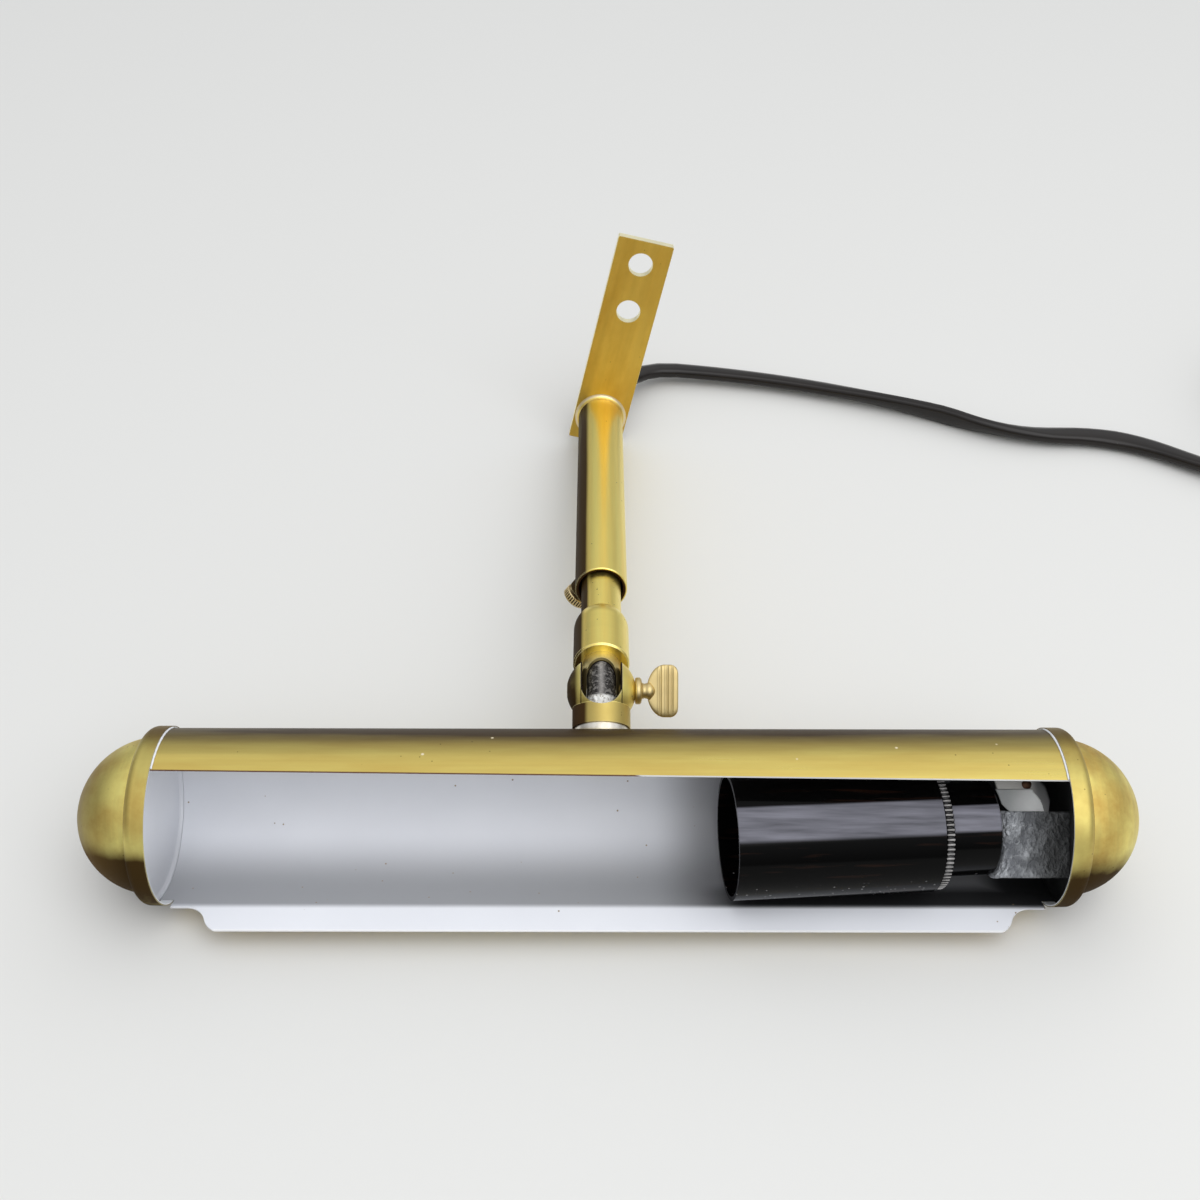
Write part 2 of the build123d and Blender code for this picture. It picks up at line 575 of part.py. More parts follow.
# ---- lampholder: black body, ring, cap, insert, thread shell and contacts ----
mouth_at = mid + axis_dir * (HALF - MOUTH_BACK) + near_dir * MOUTH_NEAR + low_dir * MOUTH_LOW
ring_at = mid + axis_dir * (HALF - RING_BACK) + near_dir * RING_NEAR + low_dir * RING_LOW
holder_dir = (ring_at - mouth_at).normalized()
holder_side = axis_dir.cross(holder_dir).normalized()
holder_axis = Axis(mouth_at, holder_dir)


def along_holder(w):
    """Plane square to the lampholder, w from its mouth."""
    return Plane(origin=mouth_at + holder_dir * w, x_dir=holder_side, z_dir=holder_dir)


neck_at = BODY_L - NECK_IN
disc_front = neck_at - INSERT_DISC
shell_at = disc_front - CONTACT_UP - 0.1 - SHELL_L
cap_end = BODY_L + 0.05 + RING_L + CAP_L
with BuildPart() as holder_body:
    with BuildSketch(along_holder(0)):
        Circle(BODY_OD / 2)
        Circle(BODY_OD / 2 - BODY_WALL, mode=Mode.SUBTRACT)
    extrude(amount=BODY_L)
    with BuildSketch(along_holder(BODY_L - 1.5)):
        Circle(BODY_OD / 2 - 0.1)
        Circle(CAP_OD / 2 + 0.05, mode=Mode.SUBTRACT)
    extrude(amount=1.5)
holder_body.part.label = "holder_body"
export_step(holder_body.part, "parts/holder_body.step")

with BuildPart() as holder_ring:
    with BuildSketch(along_holder(BODY_L + 0.05)):
        Circle(RING_OD / 2)
        Circle(CAP_OD / 2 + 0.05, mode=Mode.SUBTRACT)
    extrude(amount=RING_L)
    chamfer(holder_ring.edges().filter_by(GeomType.CIRCLE)
            .filter_by(lambda e: e.radius > RING_OD / 2 - 0.1), 0.3)
holder_ring.part.label = "holder_ring"
export_step(holder_ring.part, "parts/holder_ring.step")

# the lead comes in through the cap's side, turned away from the viewer
lead_r = SHADE_R - SHEET - LEAD_D / 2 - 0.6
lead_line = Vector(0, cos(stem_a), sin(stem_a)) * lead_r
entry_w = BODY_L + RING_L + 3.4
entry_at = mouth_at + holder_dir * entry_w
entry_in = (Vector(entry_at.X, mid.Y + lead_line.Y, mid.Z + lead_line.Z) - entry_at).normalized()
with BuildPart() as holder_cap:
    with BuildSketch(along_holder(neck_at)):
        Circle(CAP_OD / 2)
        Circle(CAP_OD / 2 - CAP_WALL, mode=Mode.SUBTRACT)
    extrude(amount=cap_end - neck_at)
    with BuildSketch(along_holder(cap_end - 1.5)):
        Circle(CAP_OD / 2 - 0.1)
        Circle(NIPPLE_OD / 2 + PIN_FIT, mode=Mode.SUBTRACT)
    extrude(amount=1.5)
    chamfer(holder_cap.edges().filter_by(GeomType.CIRCLE)
            .filter_by(lambda e: e.radius > CAP_OD / 2 - 0.05).group_by(Axis.X)[-1], 0.4)
    with BuildSketch(Plane(origin=entry_at, x_dir=axis_dir, z_dir=entry_in)):
        Circle(LEAD_D / 2 + 0.15)
    extrude(amount=CAP_OD, mode=Mode.SUBTRACT)
holder_cap.part.label = "holder_cap"
export_step(holder_cap.part, "parts/holder_cap.step")

term_r = 5.5
with BuildPart() as socket_insert:
    with BuildSketch(along_holder(disc_front)):
        Circle(BODY_OD / 2 - BODY_WALL - 0.05)
    extrude(amount=neck_at - disc_front - 0.05)
    with BuildSketch(along_holder(shell_at - 1)):
        Circle(SHELL_ID / 2 + SHELL_WALL + 2)
    extrude(amount=disc_front - shell_at + 1.5)
    with BuildSketch(along_holder(shell_at - 2)):
        Circle(SHELL_ID / 2 + SHELL_WALL + 0.04)
    extrude(amount=disc_front - shell_at + 2, mode=Mode.SUBTRACT)
    with BuildSketch(along_holder(disc_front - 1)):
        Circle(1.25)
        with Locations((term_r, 0), (-term_r, 0)):
            Circle(1.55)
    extrude(amount=BODY_L, mode=Mode.SUBTRACT)
socket_insert.part.label = "socket_insert"
export_step(socket_insert.part, "parts/socket_insert.step")

with BuildPart() as thread_shell:
    with BuildSketch(along_holder(shell_at)):
        Circle(SHELL_ID / 2 + SHELL_WALL)
        Circle(SHELL_ID / 2, mode=Mode.SUBTRACT)
    extrude(amount=SHELL_L)
thread_shell.part.label = "thread_shell"
export_step(thread_shell.part, "parts/thread_shell.step")

with BuildPart() as centre_contact:
    with BuildSketch(along_holder(disc_front - CONTACT_UP)):
        Circle(2.6)
    extrude(amount=CONTACT_UP - 0.02)
    with BuildSketch(along_holder(disc_front - 0.5)):
        Circle(1.2)
    extrude(amount=neck_at - disc_front)
centre_contact.part.label = "centre_contact"
export_step(centre_contact.part, "parts/centre_contact.step")

with BuildPart() as terminal_screw_a:
    with BuildSketch(along_holder(disc_front + 1)):
        with Locations((term_r, 0)):
            Circle(1.5)
    extrude(amount=neck_at - disc_front - 0.8)
    with BuildSketch(along_holder(neck_at - 0.03)):
        with Locations((term_r, 0)):
            Circle(2.5)
    extrude(amount=1.4)
terminal_screw_a.part.label = "terminal_screw_a"
export_step(terminal_screw_a.part, "parts/terminal_screw_a.step")

with BuildPart() as terminal_screw_b:
    with BuildSketch(along_holder(disc_front + 1)):
        with Locations((-term_r, 0)):
            Circle(1.5)
    extrude(amount=neck_at - disc_front - 0.8)
    with BuildSketch(along_holder(neck_at - 0.03)):
        with Locations((-term_r, 0)):
            Circle(2.5)
    extrude(amount=1.4)
terminal_screw_b.part.label = "terminal_screw_b"
export_step(terminal_screw_b.part, "parts/terminal_screw_b.step")

# ---- bracket: leg behind the cap, web facing the viewer, tab back to a flange on the wall ----
leg_at = cap_end + 0.02
web_end = HALF + plate_in - 0.05
web_top = WEB_LOW - WEB_H / 2
wall_r = SHADE_R - SHEET - 0.02
flange_end = TUBE_HALF - 0.15
near_side = (near_dir - holder_dir * near_dir.dot(holder_dir)).normalized()
leg = Plane(origin=mouth_at + holder_dir * leg_at, x_dir=near_side, z_dir=holder_dir)
leg_near = (leg.origin - mid).dot(near_dir)
leg_low = (leg.origin - mid).dot(low_dir)


def bracket_section(x):
    """Cross-section plane of the shade at x: local x is "near", local y is "low"."""
    return Plane(origin=mid + axis_dir * x, x_dir=near_dir, z_dir=axis_dir)


with BuildPart() as holder_bracket:
    with BuildSketch(leg):
        Circle(NIPPLE_OD / 2 + 3.6)
        with Locations((WEB_NEAR - leg_near + BODY_OD / 2, 0)):
            Rectangle(BODY_OD, 2 * BODY_OD, mode=Mode.SUBTRACT)
        with Locations(((WEB_NEAR - leg_near) / 2, WEB_LOW - leg_low)):
            Rectangle(WEB_NEAR - leg_near, WEB_H)
    extrude(amount=BRACKET_T)
    with BuildSketch(bracket_section(leg.origin.X - 1)):
        with Locations((WEB_NEAR - BRACKET_T / 2, WEB_LOW)):
            Rectangle(BRACKET_T, WEB_H)
    extrude(amount=web_end - leg.origin.X + 1)
    with BuildSketch(bracket_section(web_end)):
        with Locations((WEB_NEAR - END_LEG / 2, WEB_LOW)):
            Rectangle(END_LEG, WEB_H)
        Circle(flat_r - 0.1, mode=Mode.INTERSECT)
    extrude(amount=-BRACKET_T)
    with BuildSketch(bracket_section(flange_end)):
        with Locations(((WEB_NEAR - wall_r) / 2 + 0.3, web_top + BRACKET_T / 2)):
            Rectangle(WEB_NEAR + wall_r - 0.6, BRACKET_T)
        with BuildLine():
            CenterArc((0, 0), wall_r, 177, FLANGE_FROM + 4)
            Line(Vector(wall_r, 0).rotate(Axis.Z, 181 + FLANGE_FROM),
                 Vector(wall_r - BRACKET_T, 0).rotate(Axis.Z, 181 + FLANGE_FROM))
            CenterArc((0, 0), wall_r - BRACKET_T, 177, FLANGE_FROM + 4)
            Line(Vector(wall_r, 0).rotate(Axis.Z, 177),
                 Vector(wall_r - BRACKET_T, 0).rotate(Axis.Z, 177))
        make_face()
    extrude(amount=-TAB_W)
    with BuildSketch(bracket_section(flange_end)):
        with BuildLine():
            CenterArc((0, 0), wall_r, 180 + FLANGE_FROM, FLANGE_TO - FLANGE_FROM)
            Line(Vector(wall_r, 0).rotate(Axis.Z, 180 + FLANGE_FROM),
                 Vector(wall_r - BRACKET_T, 0).rotate(Axis.Z, 180 + FLANGE_FROM))
            CenterArc((0, 0), wall_r - BRACKET_T, 180 + FLANGE_FROM, FLANGE_TO - FLANGE_FROM)
            Line(Vector(wall_r, 0).rotate(Axis.Z, 180 + FLANGE_TO),
                 Vector(wall_r - BRACKET_T, 0).rotate(Axis.Z, 180 + FLANGE_TO))
        make_face()
    extrude(amount=-FLANGE_W)
    with BuildSketch(along_holder(leg_at - 3)):
        Circle(NIPPLE_OD / 2 + PIN_FIT)
    extrude(amount=6, mode=Mode.SUBTRACT)
    with BuildSketch(screw_plane.offset(-3)):
        Circle(SCREW_D / 2 + PIN_FIT)
    extrude(amount=8, mode=Mode.SUBTRACT)
    with BuildSketch(along_holder(leg_at - 12)):
        Circle(BODY_OD)
    extrude(amount=12, mode=Mode.SUBTRACT)
holder_bracket.part.label = "holder_bracket"
export_step(holder_bracket.part, "parts/holder_bracket.step")

with BuildPart() as holder_nipple:
    with BuildSketch(along_holder(cap_end - 4.6)):
        Circle(NIPPLE_OD / 2)
    extrude(amount=4.6 + BRACKET_T + 0.3)
    with BuildSketch(along_holder(leg_at + BRACKET_T + 0.02)):
        Circle(NIPPLE_OD / 2 + 0.9)
    extrude(amount=0.8)
    with BuildSketch(along_holder(cap_end - 5)):
        Circle(NIPPLE_OD / 2 - 1.4)
    extrude(amount=10, mode=Mode.SUBTRACT)
holder_nipple.part.label = "holder_nipple"
export_step(holder_nipple.part, "parts/holder_nipple.step")

with BuildPart() as holder_nut:
    with BuildSketch(along_holder(cap_end - 1.52 - 2.2)):
        RegularPolygon(NIPPLE_OD / 2 + 2.6, 6)
        Circle(NIPPLE_OD / 2 + PIN_FIT, mode=Mode.SUBTRACT)
    extrude(amount=2.2)
holder_nut.part.label = "holder_nut"
export_step(holder_nut.part, "parts/holder_nut.step")

with BuildPart() as bracket_screw:
    with BuildSketch(screw_plane.offset(4 - SHEET - BRACKET_T - 0.1)):
        Circle(SCREW_D / 2)
    extrude(amount=SHEET + BRACKET_T + 0.05)
    with BuildSketch(screw_plane.offset(4 - SHEET - BRACKET_T - 0.2)):
        Circle(SCREW_D / 2 + 0.9)
    extrude(amount=-1.2)
    with BuildSketch(screw_plane.offset(4 - SHEET - BRACKET_T)):
        Circle(SCREW_D / 2)
    extrude(amount=-1)
bracket_screw.part.label = "bracket_screw"
export_step(bracket_screw.part, "parts/bracket_screw.step")

# ---- leads ----
with BuildPart() as arm_cable:
    with BuildSketch(along_arm(0)):
        Circle(ARM_CABLE_D / 2)
    extrude(amount=INNER_END - CABLE_BACK)
    with Locations(Location(ball)):
        Sphere(ARM_CABLE_D / 2)
arm_cable.part.label = "arm_cable"
export_step(arm_cable.part, "parts/arm_cable.step")


def lead_at(x, dist):
    """Point in the shade at x, dist from its axis on the stem's side."""
    return Vector(x, mid.Y + dist * cos(stem_a), mid.Z + dist * sin(stem_a))


lead_start = BALL_DIST - ARM_CABLE_D / 2 - CABLE_GAP
lead_turn = BALL_DIST - spigot_end - 3.3
lead_foot = entry_at + entry_in * (term_r + 0.2)
lead_end = lead_foot - holder_dir * (entry_w - neck_at - 1.4 - 0.1)
head_points = [
    lead_at(STEM_X, lead_start),
    lead_at(STEM_X, lead_turn),
    lead_at(STEM_X + 11, lead_turn),
    lead_at(STEM_X + 24, lead_r),
    Vector(entry_at.X, mid.Y + lead_line.Y, mid.Z + lead_line.Z),
    lead_foot,
    lead_end,
]
with BuildPart() as head_lead:
    with BuildLine():
        head_path = FilletPolyline(*head_points, radius=[3.2, 6.0, 6.0, 3.2, 2.2])
    with BuildSketch(Plane(origin=head_path @ 0, z_dir=head_path % 0)):
        Circle(LEAD_D / 2)
    sweep()
head_lead.part.label = "head_lead"
export_step(head_lead.part, "parts/head_lead.step")

# ---- free cord: out of the strap, round to the right, over the table to the coil ----
on_table = CORD_D / 2
cord_corner = ball + arm_dir * (ARM_LEN + 36.87)
over_table = ((53.0, -4.1), (102.0, -19.5), (135.0, -35.9),      # X and Y from that corner
              (170.0, -35.5), (198.0, -54.2), (245.0, -80.0))
cord_points = [ball + arm_dir * (ARM_LEN - 19.0), cord_corner]
cord_points += [Vector(cord_corner.X + dx, cord_corner.Y + dy, on_table) for dx, dy in over_table]


def arc_radii(points):
    """Tangent arc radius at each inner corner: 0.45 of the shorter run over tan(half turn)."""
    radii = []
    for a, b, c in zip(points, points[1:], points[2:]):
        run_in, run_out = b - a, c - b
        half = radians(run_in.get_angle(run_out)) / 2
        radii.append(0.45 * min(run_in.length, run_out.length) / tan(half))
    return radii


cord_radii = arc_radii(cord_points)
print("cord arc radii, mm:", [round(r, 1) for r in cord_radii])
with BuildPart() as cord:
    with BuildLine():
        cord_path = FilletPolyline(*cord_points, radius=cord_radii)
    with BuildSketch(Plane(origin=cord_path @ 0, z_dir=cord_path % 0)):
        Circle(CORD_D / 2)
    sweep()
cord.part.label = "cord"
export_step(cord.part, "parts/cord.step")
print("cord on its route, mm:", round(cord_path.length, 1))

# The coil's ring lies against the end of the route, on its left.
run_end = (cord_points[-1] - cord_points[-2]).normalized()
coil_gap = COIL_MID_D / 2 + COIL_W / 2 + CORD_D / 2 + 0.3
coil_c = cord_points[-1] - run_end * 12 + Vector(-run_end.Y, run_end.X, 0) * coil_gap
coil_z = TIE_T + TIE_FIT + 0.05
with BuildPart() as cord_coil:
    with BuildSketch(Plane(origin=(coil_c.X, coil_c.Y, coil_z), x_dir=(1, 0, 0), z_dir=(0, -1, 0))):
        with Locations((COIL_MID_D / 2, COIL_H / 2)):
            RectangleRounded(COIL_W, COIL_H, 3.5)
    revolve(axis=Axis((coil_c.X, coil_c.Y, 0), (0, 0, 1)))
cord_coil.part.label = "cord_coil"
export_step(cord_coil.part, "parts/cord_coil.step")
print("cord in the coil, turns:", round((CORD_TOTAL - cord_path.length) / (pi * COIL_MID_D), 2))

tie_at = Plane(origin=(coil_c.X, coil_c.Y + COIL_MID_D / 2, coil_z + COIL_H / 2),
               x_dir=(0, 1, 0), z_dir=(1, 0, 0))
with BuildPart() as cord_tie:
    with BuildSketch(tie_at):
        RectangleRounded(COIL_W + 2 * (TIE_FIT + TIE_T), COIL_H + 2 * (TIE_FIT + TIE_T), 4)
        RectangleRounded(COIL_W + 2 * TIE_FIT, COIL_H + 2 * TIE_FIT, 3, mode=Mode.SUBTRACT)
    extrude(amount=TIE_W / 2, both=True)
cord_tie.part.label = "cord_tie"
export_step(cord_tie.part, "parts/cord_tie.step")

# A plain two-pin plug lies on the table against the right side of the coil, pins away.
plug_x = coil_c.X + COIL_MID_D / 2 + COIL_W / 2 + PLUG_W / 2 + 0.3
plug_z = PLUG_H / 2 + 0.02
plug_face = Plane(origin=(plug_x, coil_c.Y - PLUG_L / 2, plug_z), x_dir=(-1, 0, 0), z_dir=(0, 1, 0))
with BuildPart() as plug_body:
    with BuildSketch(plug_face.offset(-PLUG_L / 2)):
        RectangleRounded(0.6 * PLUG_W, PLUG_H - 3, 4)
    with BuildSketch(plug_face.offset(PLUG_L / 2)):
        RectangleRounded(PLUG_W, PLUG_H, 4)
    loft()
plug_body.part.label = "plug_body"
export_step(plug_body.part, "parts/plug_body.step")

with BuildPart() as plug_pins:
    with BuildSketch(plug_face.offset(PLUG_L / 2 + 0.01)):
        with Locations((PLUG_PIN_PITCH / 2, 0), (-PLUG_PIN_PITCH / 2, 0)):
            Circle(PLUG_PIN_D / 2)
    extrude(amount=PLUG_PIN_L)
plug_pins.part.label = "plug_pins"
export_step(plug_pins.part, "parts/plug_pins.step")

# ---- what the record needs ----
for name, value in (("pitch, degrees", degrees(pitch)), ("knuckle bend", STEM_ANGLE + degrees(pitch)),
                    ("shade axis", tuple(mid)), ("ball", tuple(ball)),
                    ("arm direction", tuple(arm_dir)), ("arm up", tuple(arm_up)),
                    ("strap front", tuple(strap_at)),
                    ("strap x", tuple(strap_face.x_dir)), ("strap y", tuple(strap_face.y_dir)),
                    ("clamp foot", tuple(clamp_at)), ("clamp out", tuple(clamp_out)),
                    ("holder mouth", tuple(mouth_at)), ("holder direction", tuple(holder_dir)),
                    ("shell mouth", tuple(mouth_at + holder_dir * shell_at)),
                    ("coil centre", tuple(coil_c)), ("plug", tuple(plug_face.origin)),
                    ("head points", [tuple(round(v, 2) for v in p) for p in head_points]),
                    ("cord points", [tuple(round(v, 2) for v in p) for p in cord_points])):
    print(name, value)
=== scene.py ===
import json

import bpy
import numpy as np
from mathutils import Matrix, Vector


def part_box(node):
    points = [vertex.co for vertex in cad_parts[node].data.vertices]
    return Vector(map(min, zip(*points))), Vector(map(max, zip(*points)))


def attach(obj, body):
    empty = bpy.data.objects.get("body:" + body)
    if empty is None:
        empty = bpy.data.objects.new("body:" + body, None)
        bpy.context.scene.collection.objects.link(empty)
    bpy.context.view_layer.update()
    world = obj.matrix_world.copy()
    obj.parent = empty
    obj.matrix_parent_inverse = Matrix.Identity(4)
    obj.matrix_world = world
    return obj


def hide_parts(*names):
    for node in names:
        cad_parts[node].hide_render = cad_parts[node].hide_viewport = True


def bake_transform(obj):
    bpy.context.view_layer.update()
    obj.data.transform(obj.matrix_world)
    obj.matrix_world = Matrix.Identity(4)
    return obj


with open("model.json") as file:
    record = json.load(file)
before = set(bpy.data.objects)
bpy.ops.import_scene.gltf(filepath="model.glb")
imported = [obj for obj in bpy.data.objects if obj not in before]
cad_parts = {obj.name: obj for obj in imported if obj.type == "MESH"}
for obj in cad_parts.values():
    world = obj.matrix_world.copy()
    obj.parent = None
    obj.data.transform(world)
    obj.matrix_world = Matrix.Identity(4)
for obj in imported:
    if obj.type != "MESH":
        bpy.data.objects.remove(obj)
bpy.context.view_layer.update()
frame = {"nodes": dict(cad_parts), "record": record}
record = frame["record"]

# ---- camera ----
# A hand camera held 0.4 m away, in front of the lamp and looking down on it
# at 45 degrees. Metres throughout, +Z up, the lamp's shade along X.
eye = Vector((-0.00322, -0.27138, 0.29177))
look_down, look_right, roll = np.radians([45.535, 0.271, 0.33])
camera = bpy.data.objects.new("camera", bpy.data.cameras.new("camera"))
bpy.context.scene.collection.objects.link(camera)
camera.data.sensor_width = 36.0
camera.data.lens = 41.94
camera.data.clip_start = 0.01
camera.matrix_world = (Matrix.Translation(eye) @ Matrix.Rotation(-look_right, 4, "Z")
                       @ Matrix.Rotation(np.pi / 2 - look_down, 4, "X")
                       @ Matrix.Rotation(roll, 4, "Z"))
bpy.context.scene.camera = camera
bpy.context.scene.view_settings.view_transform = "Standard"

# ---- table and light ----
# A plain pale table top under soft studio light: a sky that grows brighter
# upwards and to the right, and one large lamp above the right shoulder.
def add(tree, kind, values=(), **settings):
    """A node of this kind with its settings, and with values or links on its sockets."""
    node = tree.nodes.new("ShaderNode" + kind)
    for name, value in settings.items():
        setattr(node, name, value)
    for socket, value in dict(values).items():
        if isinstance(value, bpy.types.NodeSocket):
            tree.links.new(value, node.inputs[socket])
        else:
            node.inputs[socket].default_value = value
    return node


def new_material(name, **values):
    """A material whose Principled shader has these values on its own sockets, with its node tree
    and the place on the surface in metres."""
    material = bpy.data.materials.new(name)
    material.use_nodes = True
    tree = material.node_tree
    for socket, value in values.items():
        tree.nodes["Principled BSDF"].inputs[socket.replace("_", " ")].default_value = value
    return material, tree, add(tree, "TexCoord").outputs["Object"]


def put(tree, node=None, **sockets):
    """Joins these sockets by name to a node's inputs, or else to the shader's."""
    node = node or tree.nodes["Principled BSDF"]
    for name, socket in sockets.items():
        tree.links.new(socket, node.inputs[name.replace("_", " ")])


def calc(tree, operation, *values, **settings):
    """The result of one Math node."""
    return add(tree, "Math", dict(enumerate(values)), operation=operation, **settings).outputs[0]


def span(tree, value, start, end, low=0.0, high=1.0, **settings):
    """A value that goes from low to high as the given one goes from start to end."""
    return add(tree, "MapRange", {0: value, 1: start, 2: end, 3: low, 4: high},
               **settings).outputs[0]


def grid_object(name, points, closed_u=False, closed_v=False, caps=False):
    """A mesh object over an array of points [u, v, xyz]: one quad per cell, joined round
    where u or v is closed; caps fill the first and last rows with one centre point each."""
    nu, nv = points.shape[:2]
    u = np.arange(nu if closed_u else nu - 1)
    v = np.arange(nv if closed_v else nv - 1)
    a, b = np.meshgrid(u, v, indexing="ij")
    c, d = (a + 1) % nu, (b + 1) % nv
    quads = np.stack([a * nv + b, c * nv + b, c * nv + d, a * nv + d], -1).reshape(-1, 4)
    verts = points.reshape(-1, 3)
    faces = quads.tolist()
    if caps:
        ring = np.arange(nv)
        after = (ring + 1) % nv
        first, last = len(verts), len(verts) + 1
        verts = np.vstack([verts, points[0].mean(0), points[-1].mean(0)])
        far = (nu - 1) * nv
        faces += np.stack([np.full(nv, first), ring, after], -1).tolist()
        faces += np.stack([np.full(nv, last), far + after, far + ring], -1).tolist()
    mesh = bpy.data.meshes.new(name)
    mesh.from_pydata(verts.tolist(), [], faces)
    mesh.polygons.foreach_set("use_smooth", [True] * len(faces))
    mesh.update()
    piece = bpy.data.objects.new(name, mesh)
    bpy.context.scene.collection.objects.link(piece)
    return piece


side = np.linspace(-4.0, 4.0, 9)
flat = np.stack(np.meshgrid(side, side, [0.0], indexing="ij"), -1)[:, :, 0]
table_top = grid_object("table_top", flat)
material = new_material("pale_table", Base_Color=(0.76, 0.76, 0.74, 1), Roughness=0.7)[0]
table_top.data.materials.append(material)

world = bpy.data.worlds.new("studio")
world.use_nodes = True
bpy.context.scene.world = world
tree = world.node_tree
sky = tree.nodes["Background"]
way = add(tree, "SeparateXYZ", {0: add(tree, "TexCoord").outputs["Generated"]}).outputs
height = span(tree, way["Z"], -0.1, 0.85, 0.22, 1.05, interpolation_type="SMOOTHSTEP")
right = span(tree, way["X"], -1.0, 1.0, 0.72, 1.18)
put(tree, sky, Strength=calc(tree, "MULTIPLY", height, right))
sky.inputs["Color"].default_value = (0.97, 0.98, 1.0, 1)

softbox = bpy.data.objects.new("softbox", bpy.data.lights.new("softbox", "AREA"))
bpy.context.scene.collection.objects.link(softbox)
softbox.data.shape = "RECTANGLE"
softbox.data.size, softbox.data.size_y = 0.9, 1.0
softbox.data.energy = 3.8
softbox.location = (0.30, -0.42, 0.92)
softbox.rotation_euler = (Vector((0, 0, 0)) - softbox.location).to_track_quat("-Z", "Y").to_euler()

# ---- shared finishes ----
# Old brass has paler rubbed metal and deeper tarnish in soft patches, faint
# brush lines along each piece, and small dark pits. Dust lies on it as specks.
def new_group(name, inputs, outputs):
    """A shader node group with these named sockets, what it is given, and its output node."""
    group = bpy.data.node_groups.new(name, "ShaderNodeTree")
    for way_in, sockets in (("INPUT", inputs), ("OUTPUT", outputs)):
        for label, kind, *value in sockets:
            socket = group.interface.new_socket(name=label, in_out=way_in,
                                                socket_type="NodeSocket" + kind)
            if value:
                socket.default_value = value[0]
    return group, group.nodes.new("NodeGroupInput").outputs, group.nodes.new("NodeGroupOutput")


def vector(tree, operation, a, b=(0, 0, 0), **values):
    """The result of one vector node: a number for a length, distance or dot product."""
    node = add(tree, "VectorMath", {0: a, 1: b, **values}, operation=operation)
    number = operation in ("LENGTH", "DISTANCE", "DOT_PRODUCT")
    return node.outputs["Value" if number else "Vector"]


def times(tree, first, *others):
    """The product of masks and numbers."""
    for other in others:
        first = calc(tree, "MULTIPLY", first, other)
    return first


def mix(tree, share, low, high):
    """The colour that goes from low to high as share goes from 0 to 1."""
    return add(tree, "Mix", {0: share, 6: low, 7: high}, data_type="RGBA").outputs[2]


def noise(tree, place, scale, detail=2.0, **values):
    """Soft noise from 0 to 1, with scale cells to a metre."""
    values = {name.capitalize(): value for name, value in values.items()}
    return add(tree, "TexNoise", {"Vector": place, "Scale": scale, "Detail": detail,
                                  **values}).outputs[0]


def mask(tree, group, **values):
    """The mask that a shared group gives for these values."""
    return add(tree, "Group", values, node_tree=group).outputs[0]


def bump(tree, height, distance):
    """The surface normal that this height gives, distance metres deep."""
    return add(tree, "Bump", {"Distance": distance, "Height": height}).outputs[0]


# specks: one small dot in some of the cells of a Voronoi pattern
specks, given, made = new_group(
    "specks", [("Vector", "Vector"), ("Scale", "Float", 300.0), ("Size", "Float", 0.1),
               ("Share", "Float", 0.3)], [("Mask", "Float")])
cells = add(specks, "TexVoronoi", {"Vector": given["Vector"], "Scale": given["Scale"]})
colour = add(specks, "SeparateColor", {0: cells.outputs["Color"]}).outputs[0]
chosen = calc(specks, "LESS_THAN", colour, given["Share"])
inner = times(specks, given["Size"], 0.5)
dot = span(specks, cells.outputs["Distance"], given["Size"], inner)
put(specks, made, Mask=times(specks, dot, chosen))

# patches: soft-edged blotches, the share of them set by Level
patches, given, made = new_group(
    "patches", [("Vector", "Vector"), ("Scale", "Float", 60.0), ("Level", "Float", 0.5),
                ("Softness", "Float", 0.1)], [("Mask", "Float")])
soft = noise(patches, given["Vector"], given["Scale"], 6.0, roughness=0.62)
low = calc(patches, "SUBTRACT", given["Level"], given["Softness"])
high = calc(patches, "ADD", given["Level"], given["Softness"])
put(patches, made, Mask=span(patches, soft, low, high))

# edge wear: where the surface within Radius turns away from the point's own normal
edge_wear, given, made = new_group(
    "edge_wear", [("Radius", "Float", 0.0004), ("Reach", "Float", 0.12)], [("Mask", "Float")])
rounded = add(edge_wear, "Bevel", {"Radius": given["Radius"]}, samples=4)
own = add(edge_wear, "NewGeometry")
match = vector(edge_wear, "DOT_PRODUCT", rounded.outputs[0], own.outputs["Normal"])
away = calc(edge_wear, "SUBTRACT", 1.0, match)
put(edge_wear, made, Mask=span(edge_wear, away, 0.02, given["Reach"]))

# old brass: rubbed and tarnished colour in blotches that Stretch draws out along the piece,
# a deep brown of painted shade where Dark says, brush lines and pits
old_brass, given, made = new_group(
    "old_brass",
    [("Vector", "Vector"), ("Rubbed", "Color", (0.86, 0.70, 0.20, 1)),
     ("Tarnished", "Color", (0.72, 0.47, 0.11, 1)), ("Stretch", "Vector", (55.0, 55.0, 55.0)),
     ("Tarnish", "Float", 0.5), ("Dark", "Float", 0.0), ("Lines", "Vector", (900.0, 60.0, 60.0)),
     ("Line Depth", "Float", 0.12), ("Pit Share", "Float", 0.12), ("Satin", "Float", 0.28)],
    [("Color", "Color"), ("Roughness", "Float"), ("Bare", "Float"), ("Height", "Float")])
drawn = vector(old_brass, "MULTIPLY", given["Vector"], given["Stretch"])
cloudy = noise(old_brass, drawn, 1.0, 7.0, roughness=0.6)
blotch = times(old_brass, span(old_brass, cloudy, 0.38, 0.68), given["Tarnish"])
stretched = vector(old_brass, "MULTIPLY", given["Vector"], given["Lines"])
brushed = span(old_brass, noise(old_brass, stretched, 1.0, 3.0), 0.3, 0.7, -0.5, 0.5)
brushed = times(old_brass, brushed, given["Line Depth"])
pits = mask(old_brass, specks, Vector=given["Vector"], Scale=700.0, Size=0.16,
            Share=given["Pit Share"])
